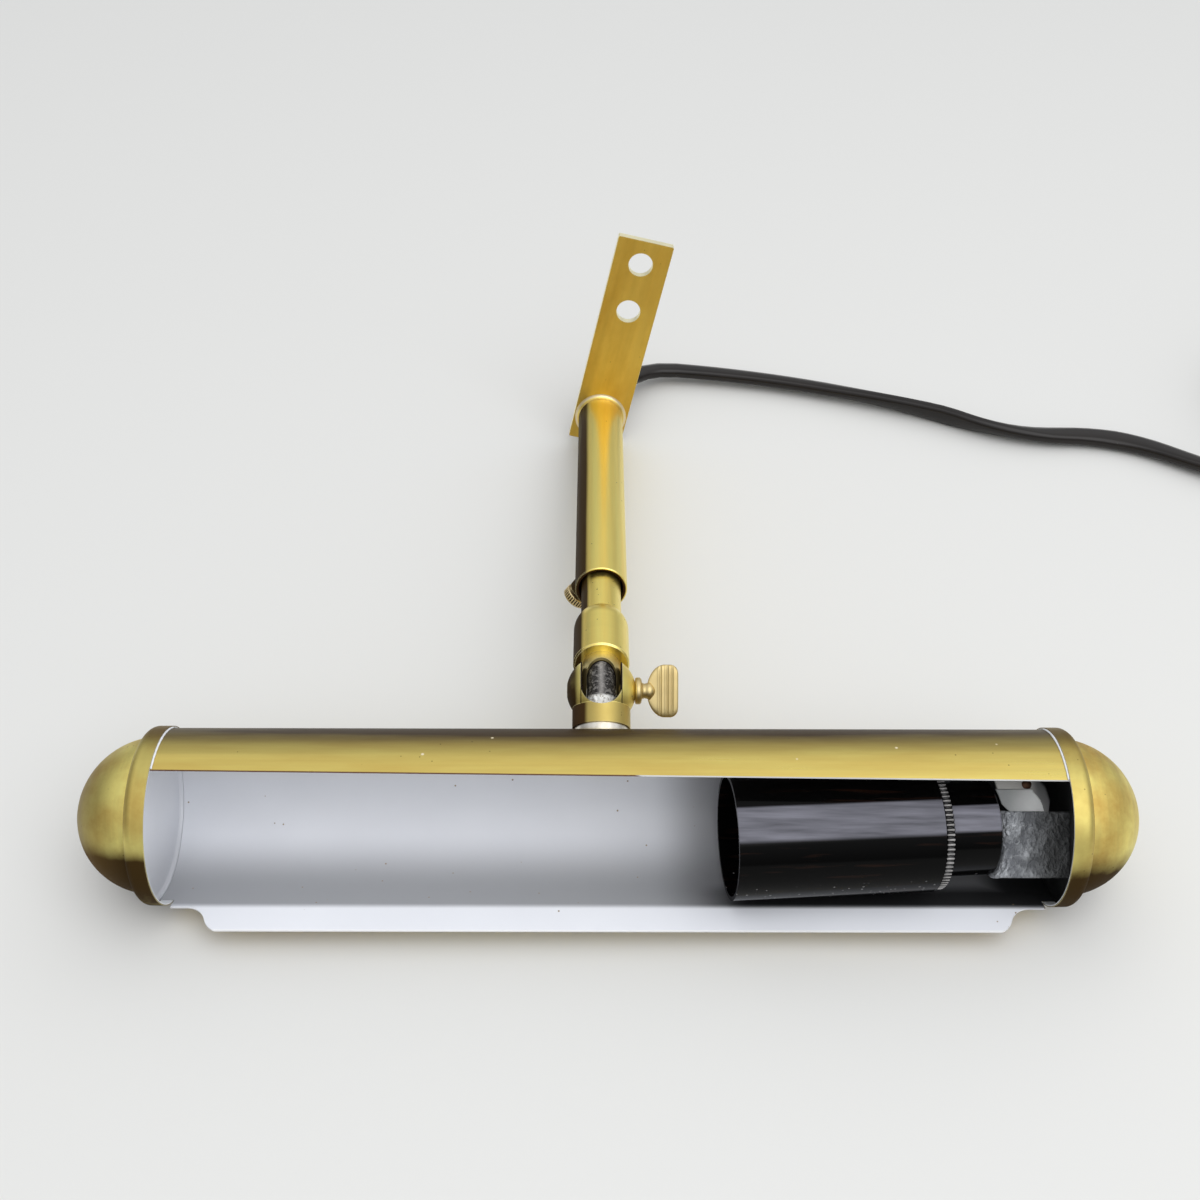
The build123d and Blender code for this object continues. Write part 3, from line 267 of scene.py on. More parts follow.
ragged = span(old_brass, cloudy, 0.3, 0.7, -0.08, 0.24)
ragged = calc(old_brass, "ADD", given["Dark"], ragged)
ragged = calc(old_brass, "MULTIPLY", ragged, given["Dark"], use_clamp=True)
tone = mix(old_brass, blotch, given["Rubbed"], given["Tarnished"])
tone = vector(old_brass, "SCALE", tone, Scale=calc(old_brass, "ADD", brushed, 1.0))
tone = mix(old_brass, ragged, tone, (0.040, 0.022, 0.005, 1))
tone = mix(old_brass, times(old_brass, pits, 0.7), tone, (0.06, 0.035, 0.012, 1))
rough = calc(old_brass, "MULTIPLY_ADD", blotch, 0.14, given["Satin"])
rough = calc(old_brass, "MULTIPLY_ADD", brushed, 0.4, rough)
rough = calc(old_brass, "MULTIPLY_ADD", ragged, 0.2, rough)
sunk = calc(old_brass, "MULTIPLY_ADD", pits, -0.6, brushed)
bare = calc(old_brass, "SUBTRACT", 1.0, ragged)
put(old_brass, made, Color=tone, Roughness=rough, Bare=bare, Height=sunk)


def ramp(tree, place, way, start, end, low=0.0, high=1.0):
    """A value that goes softly from low to high as the place goes from start to end along way."""
    along = vector(tree, "DOT_PRODUCT", place, tuple(way))
    return span(tree, along, start, end, low, high, interpolation_type="SMOOTHSTEP")


def brass(name, turn=(0, 0, 0), wear=0.5, dark=None, **values):
    """A brass material from the old_brass group with its own values: turn lays the brush lines
    along the piece, dark = (way, start, end) darkens it along way with painted shade, and
    edges are rubbed pale."""
    material, tree, place = new_material(name, Specular_IOR_Level=0.05)
    laid = add(tree, "Mapping", {0: place, 2: turn}).outputs[0]
    values = {label.replace("_", " "): value for label, value in values.items()}
    metal = add(tree, "Group", {"Vector": laid, **values}, node_tree=old_brass)
    if dark:
        # painted shade, deep brown where the ramp along way says
        put(tree, metal, Dark=ramp(tree, place, *dark))
    worn = times(tree, mask(tree, edge_wear), wear)
    made = metal.outputs
    put(tree, Base_Color=mix(tree, worn, made["Color"], (0.92, 0.82, 0.45, 1)),
        Roughness=made["Roughness"], Metallic=made["Bare"],
        Normal=bump(tree, made["Height"], 0.00002))
    return material, tree, place


def paint_over(tree, share, tone, coat=False):
    """Lays tone by share over the colour that reaches the shader. A coat hides the metal there, a
    stain doesn't."""
    inputs = tree.nodes["Principled BSDF"].inputs
    if coat:
        metal = inputs["Metallic"].links[0].from_socket
        put(tree, Metallic=times(tree, calc(tree, "SUBTRACT", 1.0, share), metal))
    put(tree, Base_Color=mix(tree, share, inputs["Base Color"].links[0].from_socket, tone))


def clouded(name, scale, detail, low, high, **values):
    """A material whose colour goes from low to high by soft noise, with its tree, the place and
    the noise."""
    material, tree, place = new_material(name, **values)
    cloud = noise(tree, place, scale, detail)
    put(tree, Base_Color=mix(tree, cloud, low, high))
    return material, tree, place, cloud

# ---- mains cord ----
# A flat dark plastic twin cord, 7.2 by 4.3 mm. It comes out behind the strap, runs
# off over the table twisting once, and the rest lies in a neat coil of six turns.
cord_width, cord_thick, cord_length = 0.0072, 0.0043, 1.8
route = np.array([(-1.7, 68.5, 13.84), (-1.7, 123.67, 5.0), (51.3, 119.57, 3.2),
                  (100.3, 104.17, 3.8), (133.3, 87.77, 3.4), (168.3, 88.17, 2.6),
                  (196.3, 69.47, 3.5), (239.3, 46.0, 4.1)]) / 1000
coil_low, coil_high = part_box("cord_coil")
coil_mid = (coil_low + coil_high) / 2
coil_inner, coil_outer = 0.0318, 0.0456
turns, per_turn, start_angle = 6.0, 16, np.radians(-88)
step = np.arange(0, int(turns * per_turn) + 1) / per_turn
swing = start_angle + step * 2 * np.pi
share = np.clip(step / 3, 0, 1) - np.clip((step - 3) / 3, 0, 1)
radius = coil_outer + (coil_inner - coil_outer) * share
rise = coil_low.z + cord_width / 2 + (cord_width + 0.0002) * np.clip((step - 2.75) / 0.5, 0, 1)
coil = np.stack([radius * np.cos(swing) + coil_mid.x, radius * np.sin(swing) + coil_mid.y,
                 rise], -1)
plug_low, plug_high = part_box("plug_body")
plug_x, plug_z = (plug_low.x + plug_high.x) / 2, (plug_low.z + plug_high.z) / 2
tail = np.array([(coil_mid.x + 0.018, coil_mid.y - 0.0475, 0.0112),
                 (coil_mid.x + 0.036, coil_mid.y - 0.0515, 0.0088),
                 (plug_x - 0.006, coil_mid.y - 0.053, plug_z), (plug_x, plug_low.y - 0.012, plug_z),
                 (plug_x, plug_low.y + 0.004, plug_z)])
points = np.vstack([route, coil[1:], tail])
line = bpy.data.curves.new("cord_line", "CURVE")
line.dimensions = "3D"
line.resolution_u = 8
spline = line.splines.new("NURBS")
spline.points.add(len(points) - 1)
spline.points.foreach_set("co", np.hstack([points, np.ones((len(points), 1))]).ravel())
spline.order_u = 3
spline.use_endpoint_u = True
guide = bpy.data.objects.new("cord_line", line)
bpy.context.scene.collection.objects.link(guide)
traced = bpy.data.meshes.new_from_object(guide.evaluated_get(bpy.context.evaluated_depsgraph_get()))
path = np.zeros(len(traced.vertices) * 3)
traced.vertices.foreach_get("co", path)
path = path.reshape(-1, 3)
bpy.data.objects.remove(guide)
run = np.concatenate([[0], np.cumsum(np.linalg.norm(np.diff(path, axis=0), axis=1))])


def flat_tube(name, path, twist, width, thick, sides=24):
    """A closed tube along path: the section is a stadium of this width and thickness, whose width
    lies level, square to the path, and is turned about the path by twist. All three may vary."""
    along = np.gradient(path, axis=0)
    along /= np.linalg.norm(along, axis=1)[:, None]
    level = np.cross(along, (0, 0, 1))
    level /= np.linalg.norm(level, axis=1)[:, None]
    up = np.cross(level, along)
    c, s = np.cos(twist)[:, None], np.sin(twist)[:, None]
    wide, high = level * c + up * s, up * c - level * s
    a = np.linspace(0, 2 * np.pi, sides, endpoint=False)
    thick, width = np.broadcast_to(thick, len(path)), np.broadcast_to(width, len(path))
    flat = np.sign(np.cos(a)) * np.minimum(np.abs(np.cos(a)) * 1.35, 1.0)
    x = np.cos(a)[None] * thick[:, None] / 2 + flat[None] * (width - thick)[:, None] / 2
    y = np.sin(a)[None] * thick[:, None] / 2
    ring = path[:, None] + x[..., None] * wide[:, None] + y[..., None] * high[:, None]
    return grid_object(name, ring[:, ::-1], closed_v=True, caps=True)


twist = np.interp(run, [0.0, 0.075, 0.12, 0.16, 0.195, 0.215, 0.24, 0.275, 0.30],
                  np.radians([0, 20, 30, 75, 12, 0, 20, 80, 90]))
cord = flat_tube("mains_cord", path, twist, cord_width, cord_thick)
material, tree, place = clouded("dark_cord", 90.0, 6.0, (0.003, 0.0018, 0.0014, 1),
                                (0.011, 0.007, 0.005, 1), Roughness=0.28,
                                Specular_IOR_Level=0.38)[:3]
dust = mask(tree, specks, Vector=place, Scale=500.0, Size=0.12, Share=0.12)
paint_over(tree, times(tree, dust, 0.2), (0.25, 0.24, 0.22, 1))
cord.data.materials.append(material)
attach(cord, "bracket")
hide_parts("cord", "cord_coil")

# ---- plug ----
# A moulded two-pin plug in matt black plastic, with ribs for the fingers and a
# tapered sleeve that keeps the cord from bending sharply at its back.
def dress(material, *nodes):
    """Gives these CAD nodes one material."""
    for name in nodes:
        mesh = frame["nodes"][name].data
        mesh.materials.clear()
        mesh.materials.append(material)


sleeve_length = 0.03
reach = run[-1] - sleeve_length
sleeve_path = path[run > reach]
sleeve_run = (run[run > reach] - reach) / sleeve_length
boot = flat_tube("plug_boot", sleeve_path, twist[run > reach], 0.0080 + 0.0032 * sleeve_run,
                 0.0052 + 0.0040 * sleeve_run)


def plug_surface(name, low, high, rows=60, sides=64):
    """Along Y a rounded rectangle: half sizes grow from 0.58 to 1 of the box in a soft S, with
    seven shallow finger grooves near the back, and the front and back edges are rounded off."""
    t = np.linspace(0, 1, rows)
    grow = 0.58 + 0.42 * (3 * t ** 2 - 2 * t ** 3)
    rib = 1 - 0.035 * (0.5 - 0.5 * np.cos(2 * np.pi * 7 * np.clip((t - 0.12) / 0.5, 0, 1)))
    round_off = np.sqrt(1 - np.clip(1 - np.minimum(t, 1 - t) / 0.05, 0, 1) ** 2 * 0.35)
    size = grow * rib * round_off
    a = np.linspace(0, 2 * np.pi, sides, endpoint=False)
    square = (np.abs(np.cos(a)) ** 4 + np.abs(np.sin(a)) ** 4) ** -0.25
    mid, half = (low + high) / 2, (high - low) / 2
    x = mid.x + half.x * size[:, None] * (square * np.cos(a))[None]
    z = mid.z + half.z * (0.3 + 0.7 * size)[:, None] * (square * np.sin(a))[None]
    y = np.repeat((low.y + (high.y - low.y) * t)[:, None], sides, 1)
    return grid_object(name, np.stack([x, y, z], -1), closed_v=True, caps=True)


plug = plug_surface("plug_shell", plug_low, plug_high)
material, tree, place, grain = clouded("matt_black_plastic", 1500.0, 3.0,
                                       (0.010, 0.010, 0.010, 1), (0.024, 0.023, 0.022, 1),
                                       Roughness=0.5)
put(tree, Normal=bump(tree, grain, 0.00003))
plug.data.materials.append(material)
boot.data.materials.append(material)
dress(material, "cord_tie", "cord_bush")
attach(plug, "bracket")
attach(boot, "bracket")
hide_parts("plug_body")
dress(brass("nickel_pins", Rubbed=(0.62, 0.60, 0.56, 1), Tarnished=(0.45, 0.43, 0.38, 1))[0],
      "plug_pins")

# ---- wall strap ----
# Flat brass bar, sawn off and drilled twice, soldered square on the end of the
# wide tube. Its face is dull orange brass, its cut edges and holes are bright.
joints = {joint["name"]: joint for joint in record["behaviour"]["joints"]}
ball = np.array(joints["knuckle_tilt"]["pos_m"])
arm_way = -np.array(joints["arm_extend"]["axis"])
arm_fall = np.arctan2(-arm_way[2], arm_way[1])
strap_turn = np.radians(12.9)
arm_length = 0.137
strap_face = ball @ arm_way + arm_length
material, tree = brass("strap_brass", turn=(arm_fall, -strap_turn, 0), wear=0.8,
                       Rubbed=(0.78, 0.54, 0.11, 1), Tarnished=(0.58, 0.34, 0.045, 1),
                       Stretch=(60.0, 60.0, 25.0), Lines=(500.0, 80.0, 20.0), Line_Depth=0.10,
                       Satin=0.46, Tarnish=0.9, Pit_Share=0.06)[:2]
# cut edges and holes painted pale: bare cut brass, partly a painted highlight
facing = vector(tree, "DOT_PRODUCT", add(tree, "TexCoord").outputs["Normal"], arm_way)
cut_faces = span(tree, calc(tree, "ABSOLUTE", facing), 0.8, 0.4)
paint_over(tree, cut_faces, (1.0, 0.95, 0.68, 1))
dress(material, "strap")
material, tree, place = brass("solder", Satin=0.34, Tarnish=0.35)
seam = ramp(tree, place, arm_way, strap_face - 0.0005, strap_face - 0.0003)
paint_over(tree, seam, (0.80, 0.66, 0.40, 1))
dress(material, "solder_ring")

# ---- telescopic tubes ----
# Drawn brass tubes: the wide one slides over the thin one. Their left sides
# are darkened with painted shade, and the inside of the wide one's mouth is
# painted near black as shade.
def off_line(tree, place, foot, way):
    """Distance from the line through foot along way."""
    from_foot = vector(tree, "SUBTRACT", place, foot)
    return vector(tree, "LENGTH", vector(tree, "CROSS_PRODUCT", from_foot, way))


def below(tree, value, limit):
    """1 where the value is under the limit, else 0."""
    return calc(tree, "LESS_THAN", value, limit)


def left_side(start, end):
    """Painted shade that brass takes as dark: from start to end, left of the arm's middle."""
    return left_way, start - ball[0], end - ball[0]


left_way, right_way = np.array((-1.0, 0.0, 0.0)), np.array((1.0, 0.0, 0.0))
bright = dict(turn=(arm_fall, 0, 0), Tarnish=0.7, Rubbed=(0.95, 0.82, 0.24, 1),
              Tarnished=(0.92, 0.66, 0.16, 1))
mouth_radius = 0.0066
material, tree, place = brass("tube_brass", dark=left_side(0.0022, 0.0047),
                              Stretch=(260.0, 8.0, 120.0), Lines=(900.0, 30.0, 900.0),
                              Line_Depth=0.05, Satin=0.32, Pit_Share=0.05, **bright)
# painted shade: the bore inside the wide tube's mouth is near black
bore = below(tree, off_line(tree, place, ball, arm_way), mouth_radius)
paint_over(tree, bore, (0.04, 0.018, 0.006, 1), coat=True)
dress(material, "outer_tube", "clamp_boss")
material = brass("inner_brass", dark=left_side(0.0024, 0.0040), Stretch=(260.0, 12.0, 120.0),
                 Lines=(900.0, 30.0, 900.0), Line_Depth=0.07, Satin=0.30, Pit_Share=0.35,
                 **bright)[0]
dress(material, "inner_tube", "guide_sleeve")

# ---- clamp screw ----
# A small brass thumb screw with a stepped, knurled head, in a boss under the
# wide tube's mouth.
def turned(name, foot, way, profile, around=96, rim=None, closed=False):
    """A surface of revolution about the line from foot along way: rows of (height, radius) from the
    profile, each swept round the full circle; rim(height, angle) is added to the radius."""
    way = np.array(way) / np.linalg.norm(way)
    side = np.cross(way, (0, 0, 1) if abs(way[2]) < 0.9 else (1, 0, 0))
    side /= np.linalg.norm(side)
    other = np.cross(way, side)
    a = -np.linspace(0, 2 * np.pi, around, endpoint=False)
    profile = np.array(profile)
    radius = profile[:, 1:] + (rim(profile[:, :1], a[None]) if rim else 0.0 * a[None])
    spread = np.cos(a)[:, None] * side + np.sin(a)[:, None] * other
    points = np.array(foot) + profile[:, :1, None] * way + radius[..., None] * spread[None]
    return grid_object(name, points, closed_u=closed, closed_v=True, caps=not closed)


clamp = joints["clamp_turn"]
clamp_foot, clamp_way = np.array(clamp["pos_m"]), np.array(clamp["axis"])
shank, head, head_from, head_to, tip = 0.002, 0.0037, 0.0104, 0.0128, 0.00562
head_mid = (head_from + head_to) / 2


def thumb_ribs(height, angle):
    """Thirty rounded ribs round the rim between the head's two faces, none on shank or faces."""
    on_rim = np.abs(height - head_mid) < 0.0008
    return -0.00028 * on_rim * (0.5 + 0.5 * np.cos(30 * angle))


outline = [(tip, 0.0004), (tip, shank - 0.0003), (tip + 0.0004, shank), (head_from, shank),
           (head_from, head - 0.0003), (head_from + 0.0003, head), (head_from + 0.0005, head),
           (head_mid, head), (head_to - 0.0005, head), (head_to - 0.0003, head),
           (head_to, head - 0.0003), (head_to, head - 0.0009), (head_to - 0.0005, head - 0.0011),
           (head_to - 0.0005, 0.0008), (head_to - 0.0004, 0.0002)]
thumb = turned("thumb_screw", clamp_foot, clamp_way, outline, around=240, rim=thumb_ribs)
material, tree, place = brass("knurled_brass", wear=0.9, Satin=0.3, Tarnish=0.6, Pit_Share=0.3,
                              Rubbed=(0.92, 0.74, 0.40, 1), Tarnished=(0.30, 0.18, 0.08, 1))
from_axis = off_line(tree, place, clamp_foot, clamp_way)
between_ribs = span(tree, from_axis, head - 0.00008, head - 0.0002)
head_face = clamp_foot @ clamp_way + head_from
on_head = ramp(tree, place, clamp_way, head_face + 0.0003, head_face + 0.0004)
paint_over(tree, times(tree, between_ribs, on_head), (0.03, 0.016, 0.008, 1), coat=True)
thumb.data.materials.append(material)
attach(thumb, "clamp_screw")
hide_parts("clamp_screw")

# ---- collar, fork and cable ----
# A turned collar joins the thin tube to its forked end, which turns in the ball.
# The dusty cable shows in the fork's window and goes down into the stem, where
# crumbly white putty holds it.
def ripples(points, size, seed):
    """Smooth bumps, mostly from -1 to 1: a quarter of the sum of twelve sine waves of wavelength
    near size, each in a random direction and phase from the seed."""
    pick = np.random.default_rng(seed)
    ways = pick.normal(size=(12, 3))
    lengths = np.linalg.norm(ways, axis=1)[:, None]
    ways *= 2 * np.pi / size / lengths * pick.uniform(0.6, 1.6, (12, 1))
    return np.sin(points @ ways.T + pick.uniform(0, 2 * np.pi, 12)).sum(-1) / 4


stem_way = np.array((0, -np.cos(np.radians(22)), -np.sin(np.radians(22))))
# painted shade darkens the collar's left side
material, tree, place = brass("collar_brass", wear=0.9, dark=left_side(0.0034, 0.0055),
                              Stretch=(260.0, 12.0, 120.0), Lines=(60.0, 500.0, 60.0),
                              Line_Depth=0.04, Satin=0.28, Pit_Share=0.15, **bright)
meets = ball @ arm_way + 0.0280
seam = ramp(tree, place, arm_way, meets, meets + 0.0001, 0.0, 0.8)
paint_over(tree, seam, (0.16, 0.08, 0.02, 1))
dress(material, "collar")
material, tree, place = brass("fork_brass", turn=(arm_fall, 0, 0), wear=0.9, Satin=0.38,
                              Tarnish=0.8, Pit_Share=0.2, Rubbed=(0.74, 0.64, 0.30, 1),
                              Tarnished=(0.60, 0.46, 0.18, 1))
fork_bore = 0.0038
# painted shade: the fork's bore is near black
bore = below(tree, off_line(tree, place, ball, arm_way), fork_bore)
paint_over(tree, bore, (0.02, 0.012, 0.006, 1), coat=True)
dress(material, "tongue")
turn_in = np.linspace(0, 1, 40)[:, None]
above, below_ball = ball + arm_way * 0.012, ball + stem_way * 0.0075
bend = (1 - turn_in) ** 2 * above + 2 * turn_in * (1 - turn_in) * ball + turn_in ** 2 * below_ball
cable_line = np.vstack([ball + arm_way * np.linspace(0.102, 0.0125, 30)[:, None], bend])
cable_far = np.linalg.norm(np.diff(cable_line, axis=0), axis=1).cumsum()
cable_far = cable_far[-1] - np.concatenate([[0], cable_far])


def dusty_tube(name, path, radius, sides=72):
    """A closed tube along path in the plane of the knuckle: its radius swells and shrinks by small
    bumps, and by coarse crumbs over its last 5 mm."""
    along = np.gradient(path, axis=0)
    along /= np.linalg.norm(along, axis=1)[:, None]
    up = np.cross(right_way, along)
    a = -np.linspace(0, 2 * np.pi, sides, endpoint=False)
    ring = np.sin(a)[None, :, None] * right_way - np.cos(a)[None, :, None] * up[:, None]
    skin = path[:, None] + ring * np.broadcast_to(radius, len(path))[:, None, None]
    crumbs = np.clip((0.0062 - cable_far) / 0.001, 0, 1)[:, None]
    bumps = 0.00005 * ripples(skin, 0.0009, 5) + 0.00028 * crumbs * ripples(skin, 0.0011, 8)
    return grid_object(name, skin + ring * bumps[..., None], closed_v=True, caps=True)


cable_radius = np.interp(cable_far, [0.0, 0.004, 0.0055, 0.020, 0.024],
                         [0.0034, 0.0035, 0.00355, 0.0035, 0.0031])
cable = dusty_tube("dusty_cable", cable_line, cable_radius)
material, tree, place = new_material("dusty_cable", Roughness=0.8)
fluff = mask(tree, patches, Vector=place, Scale=1100.0, Level=0.55, Softness=0.05)
hairs = add(tree, "TexVoronoi", {"Vector": place, "Scale": 1500.0}, feature="DISTANCE_TO_EDGE")
hairs = span(tree, hairs.outputs["Distance"], 0.0, 0.06, 0.5, 0.0)
fluff = calc(tree, "MAXIMUM", fluff, hairs)
put(tree, Base_Color=mix(tree, fluff, (0.012, 0.010, 0.010, 1), (0.22, 0.21, 0.20, 1)))
# a painted highlight: a pale stripe down the middle of the cable
streak = calc(tree, "ADD", add(tree, "SeparateXYZ", {0: place}).outputs["X"], -ball[0])
streak = span(tree, calc(tree, "ABSOLUTE", streak), 0.0002, 0.0011, 0.55, 0.0)
paint_over(tree, streak, (0.42, 0.40, 0.38, 1))
crumbs = mask(tree, patches, Vector=place, Scale=1400.0, Level=0.42, Softness=0.07)
clay = mix(tree, crumbs, (0.30, 0.26, 0.20, 1), (0.92, 0.92, 0.90, 1))
putty_from = ball @ stem_way + 0.0014
paint_over(tree, ramp(tree, place, stem_way, putty_from, putty_from + 0.0008), clay)
cable.data.materials.append(material)
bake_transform(cable)
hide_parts("arm_cable")
material, tree, place = new_material("white_putty", Roughness=0.85)
crumbs = mask(tree, patches, Vector=place, Scale=1400.0, Level=0.47, Softness=0.07)
put(tree, Base_Color=mix(tree, crumbs, (0.42, 0.38, 0.30, 1), (0.88, 0.87, 0.83, 1)))
dress(material, "stem_filler")

# ---- knuckle ----
# A slotted brass ball on a short stem, with a pin through it. The inside of the
# slot is painted black as shade, two black discs beside the fork stand where
# there is only shade, and a pale washer sits between stem and shade.
ball_inside, stem_from = 0.0080, 0.00858
# painted shade darkens the ball's left side
material, tree, place = brass("knuckle_brass", wear=0.9, dark=left_side(0.0042, 0.0066),
                              Lines=(300.0, 300.0, 300.0), Line_Depth=0.06, Satin=0.40, Tarnish=0.8,
                              Pit_Share=0.2, Rubbed=(0.88, 0.76, 0.24, 1),
                              Tarnished=(0.76, 0.55, 0.15, 1))
within = vector(tree, "DISTANCE", place, ball)
# painted shade: inside the ball is near black
paint_over(tree, below(tree, within, ball_inside), (0.02, 0.012, 0.006, 1), coat=True)
on_stem = calc(tree, "GREATER_THAN", within, stem_from)
paint_over(tree, times(tree, on_stem, 0.65), (0.36, 0.27, 0.09, 1))
# painted shade darkens the stem's left side
on_left = ramp(tree, place, *left_side(0.0030, 0.0042))
paint_over(tree, times(tree, on_stem, on_left), (0.05, 0.026, 0.008, 1), coat=True)
dress(material, "knuckle_ball", "pivot_pin")
# two dark discs in the gaps beside the fork: painted shade where the slot would show through
material = clouded("painted_slot_shade", 900.0, 2.0, (0.006, 0.004, 0.003, 1), (0.03, 0.02, 0.012, 1),
                   Roughness=0.9, Specular_IOR_Level=0.1)[0]
shim_at, shim_radius, half_shim = 0.00488, 0.0070, 0.00015
shim_outline = [(-half_shim, 0.0002), (-half_shim, shim_radius), (half_shim, shim_radius),
                (half_shim, 0.0002)]
for name, at in (("slot_shade_disc_left", -shim_at), ("slot_shade_disc_right", shim_at)):
    shim = turned(name, ball + at * right_way, right_way, shim_outline, around=64)
    shim.data.materials.append(material)
    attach(shim, "shade")
dress(brass("seat_metal", Rubbed=(0.86, 0.84, 0.78, 1), Tarnished=(0.42, 0.34, 0.22, 1), Satin=0.3,
            Stretch=(150.0, 150.0, 150.0), Tarnish=0.9)[0], "stem_seat")
dress(brass("plain_brass", Satin=0.3)[0], "stem_cradle", "stem_nut", "thread_shell",
      "centre_contact", "terminal_screw_a", "terminal_screw_b", "holder_nipple", "holder_nut")

# ---- wing screw ----
# A cast brass key: a round flange and neck turned on its shank, and a flat fan
# with three rolled grooves for the thumb.
near_way, low_way = np.array((0, -1, 1)) / 2 ** 0.5, np.array((0, -1, -1)) / 2 ** 0.5
flange_at, neck_at, fan_at, fan_end = 0.00825, 0.00985, 0.0112, 0.01875
shank_from, fan_half, fan_thick = 0.00365, 0.00645, 0.0015
outline = [(shank_from, 0.0002), (shank_from, 0.0015), (flange_at, 0.0015), (flange_at, 0.0030),
           (flange_at + 0.0003, 0.0033), (flange_at + 0.0011, 0.0033), (neck_at - 0.0001, 0.0029),
           (neck_at, 0.0021), (neck_at + 0.0006, 0.0018), (neck_at + 0.0012, 0.0019),
           (fan_at + 0.0006, 0.0023), (fan_at + 0.0016, 0.0012), (fan_at + 0.0022, 0.0003)]
key = turned("wing_shank", ball, right_way, outline, around=48)


def fan_surface(name, rows=72, sides=56):
    """Along X from neck to tip: the half height rises as a quarter circle from a sixth to full,
    stays, and falls on a circle at the far corners; the section is a flat loop with round ends, and
    its thickness dips in three grooves with raised lips."""
    t = np.linspace(0, 1, rows)
    rise = 0.16 + 0.84 * np.sqrt(1 - (1 - np.clip(t / 0.56, 0, 1)) ** 2) ** 1.15
    corner = 1 - 0.34 * (1 - np.sqrt(1 - np.clip((t - 0.74) / 0.26, 0, 1) ** 2))
    half = fan_half * rise * corner
    past = np.abs(t - np.array((0.42, 0.64, 0.80))[:, None])
    groove = (np.exp(-(past / 0.028) ** 2) - 0.5 * np.exp(-((past - 0.06) / 0.03) ** 2)).sum(0)
    thick = fan_thick / 2 - 0.00016 * groove
    thick *= np.sqrt(1 - np.clip(1 - np.minimum(t, 1 - t) / 0.05, 0, 1) ** 2 * 0.6)
    a = np.linspace(0, 2 * np.pi, sides, endpoint=False)
    across = np.sign(np.cos(a)) * np.abs(np.cos(a)) ** 0.35
    deep = np.sign(np.sin(a)) * np.abs(np.sin(a)) ** 0.55
    along = fan_at + (fan_end - fan_at) * t
    points = (ball + along[:, None, None] * right_way
              + (half[:, None] * across)[..., None] * low_way
              + (thick[:, None] * deep)[..., None] * near_way)
    return grid_object(name, points, closed_v=True, caps=True)


fan = fan_surface("wing_fan")
material = brass("wing_brass", wear=0.8, Lines=(60.0, 500.0, 60.0), Line_Depth=0.06, Satin=0.40,
                 Tarnish=0.5, Rubbed=(0.68, 0.55, 0.27, 1), Tarnished=(0.55, 0.40, 0.17, 1))[0]
for piece in (key, fan):
    piece.data.materials.append(material)
    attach(piece, "wing_screw")
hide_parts("wing_screw")

# ---- shade ----
# A tube of thin brass, cut open along its front, with the lower edge folded out
# into a lip. Outside it is old polished brass with painted shade darkening it
# towards the back, inside and on the lip white enamel, with painted shade low
# down and to the right, and painted shadow under the lampholder and at the right end.
tube_radius, sheet, half_length = 0.0204, 0.0005, 0.10295
shade_mid = np.array((0, -0.076752, 0.0209))
fold_y, fold_z, lip_end = -0.01613, -0.01432, -0.02263
low_mid = low_way @ shade_mid
material, tree, place = new_material("shade_brass_and_enamel", Specular_IOR_Level=0.3)
normal = add(tree, "SeparateXYZ", {0: add(tree, "TexCoord").outputs["Normal"]}).outputs
centred = vector(tree, "SUBTRACT", place, shade_mid)
part = add(tree, "SeparateXYZ", {0: centred}).outputs
metal = add(tree, "Group", {
    "Vector": place, "Stretch": (9.0, 60.0, 60.0), "Lines": (8.0, 500.0, 500.0),
    "Line Depth": 0.14, "Satin": 0.27, "Tarnish": 0.85, "Pit Share": 0.04,
    "Rubbed": (0.71, 0.58, 0.17, 1), "Tarnished": (0.57, 0.36, 0.085, 1)}, node_tree=old_brass)
# painted shade: the top strip facing back is darkened
put(tree, metal, Dark=ramp(tree, centred, low_way, -0.0206, -0.0130, 1.0, 0.0))
metal = metal.outputs
dust = mask(tree, specks, Vector=place, Scale=260.0, Size=0.12, Share=0.10)
brassy = mix(tree, dust, metal["Color"], (0.95, 0.85, 0.6, 1))
# the enamel: inside the tube and on the lip past the fold
inside = below(tree, off_line(tree, centred, (0, 0, 0), right_way), tube_radius - sheet * 0.6)
on_top = calc(tree, "GREATER_THAN", normal["Z"], -0.5)
past_fold = below(tree, part["Y"], fold_y + 0.0055)
low_down = below(tree, part["Z"], fold_z + 0.003)
white = calc(tree, "MAXIMUM", inside, times(tree, on_top, past_fold, low_down))
enamel = mix(tree, noise(tree, place, 35.0, 5.0), (0.80, 0.82, 0.87, 1), (0.90, 0.92, 0.97, 1))
still_wall = span(tree, part["Y"], fold_y - 0.0006, fold_y + 0.0012)
# painted shade: the enamel darkens low down towards the fold
low_shade = times(tree, ramp(tree, centred, low_way, 0.007, 0.0185, 0.0, 0.95), still_wall)
warm = ramp(tree, centred, low_way, -0.004, -0.015, 0.0, 0.5)
shady = times(tree, ramp(tree, centred, right_way, 0.010, 0.026, 0.0, 0.6), still_wall)
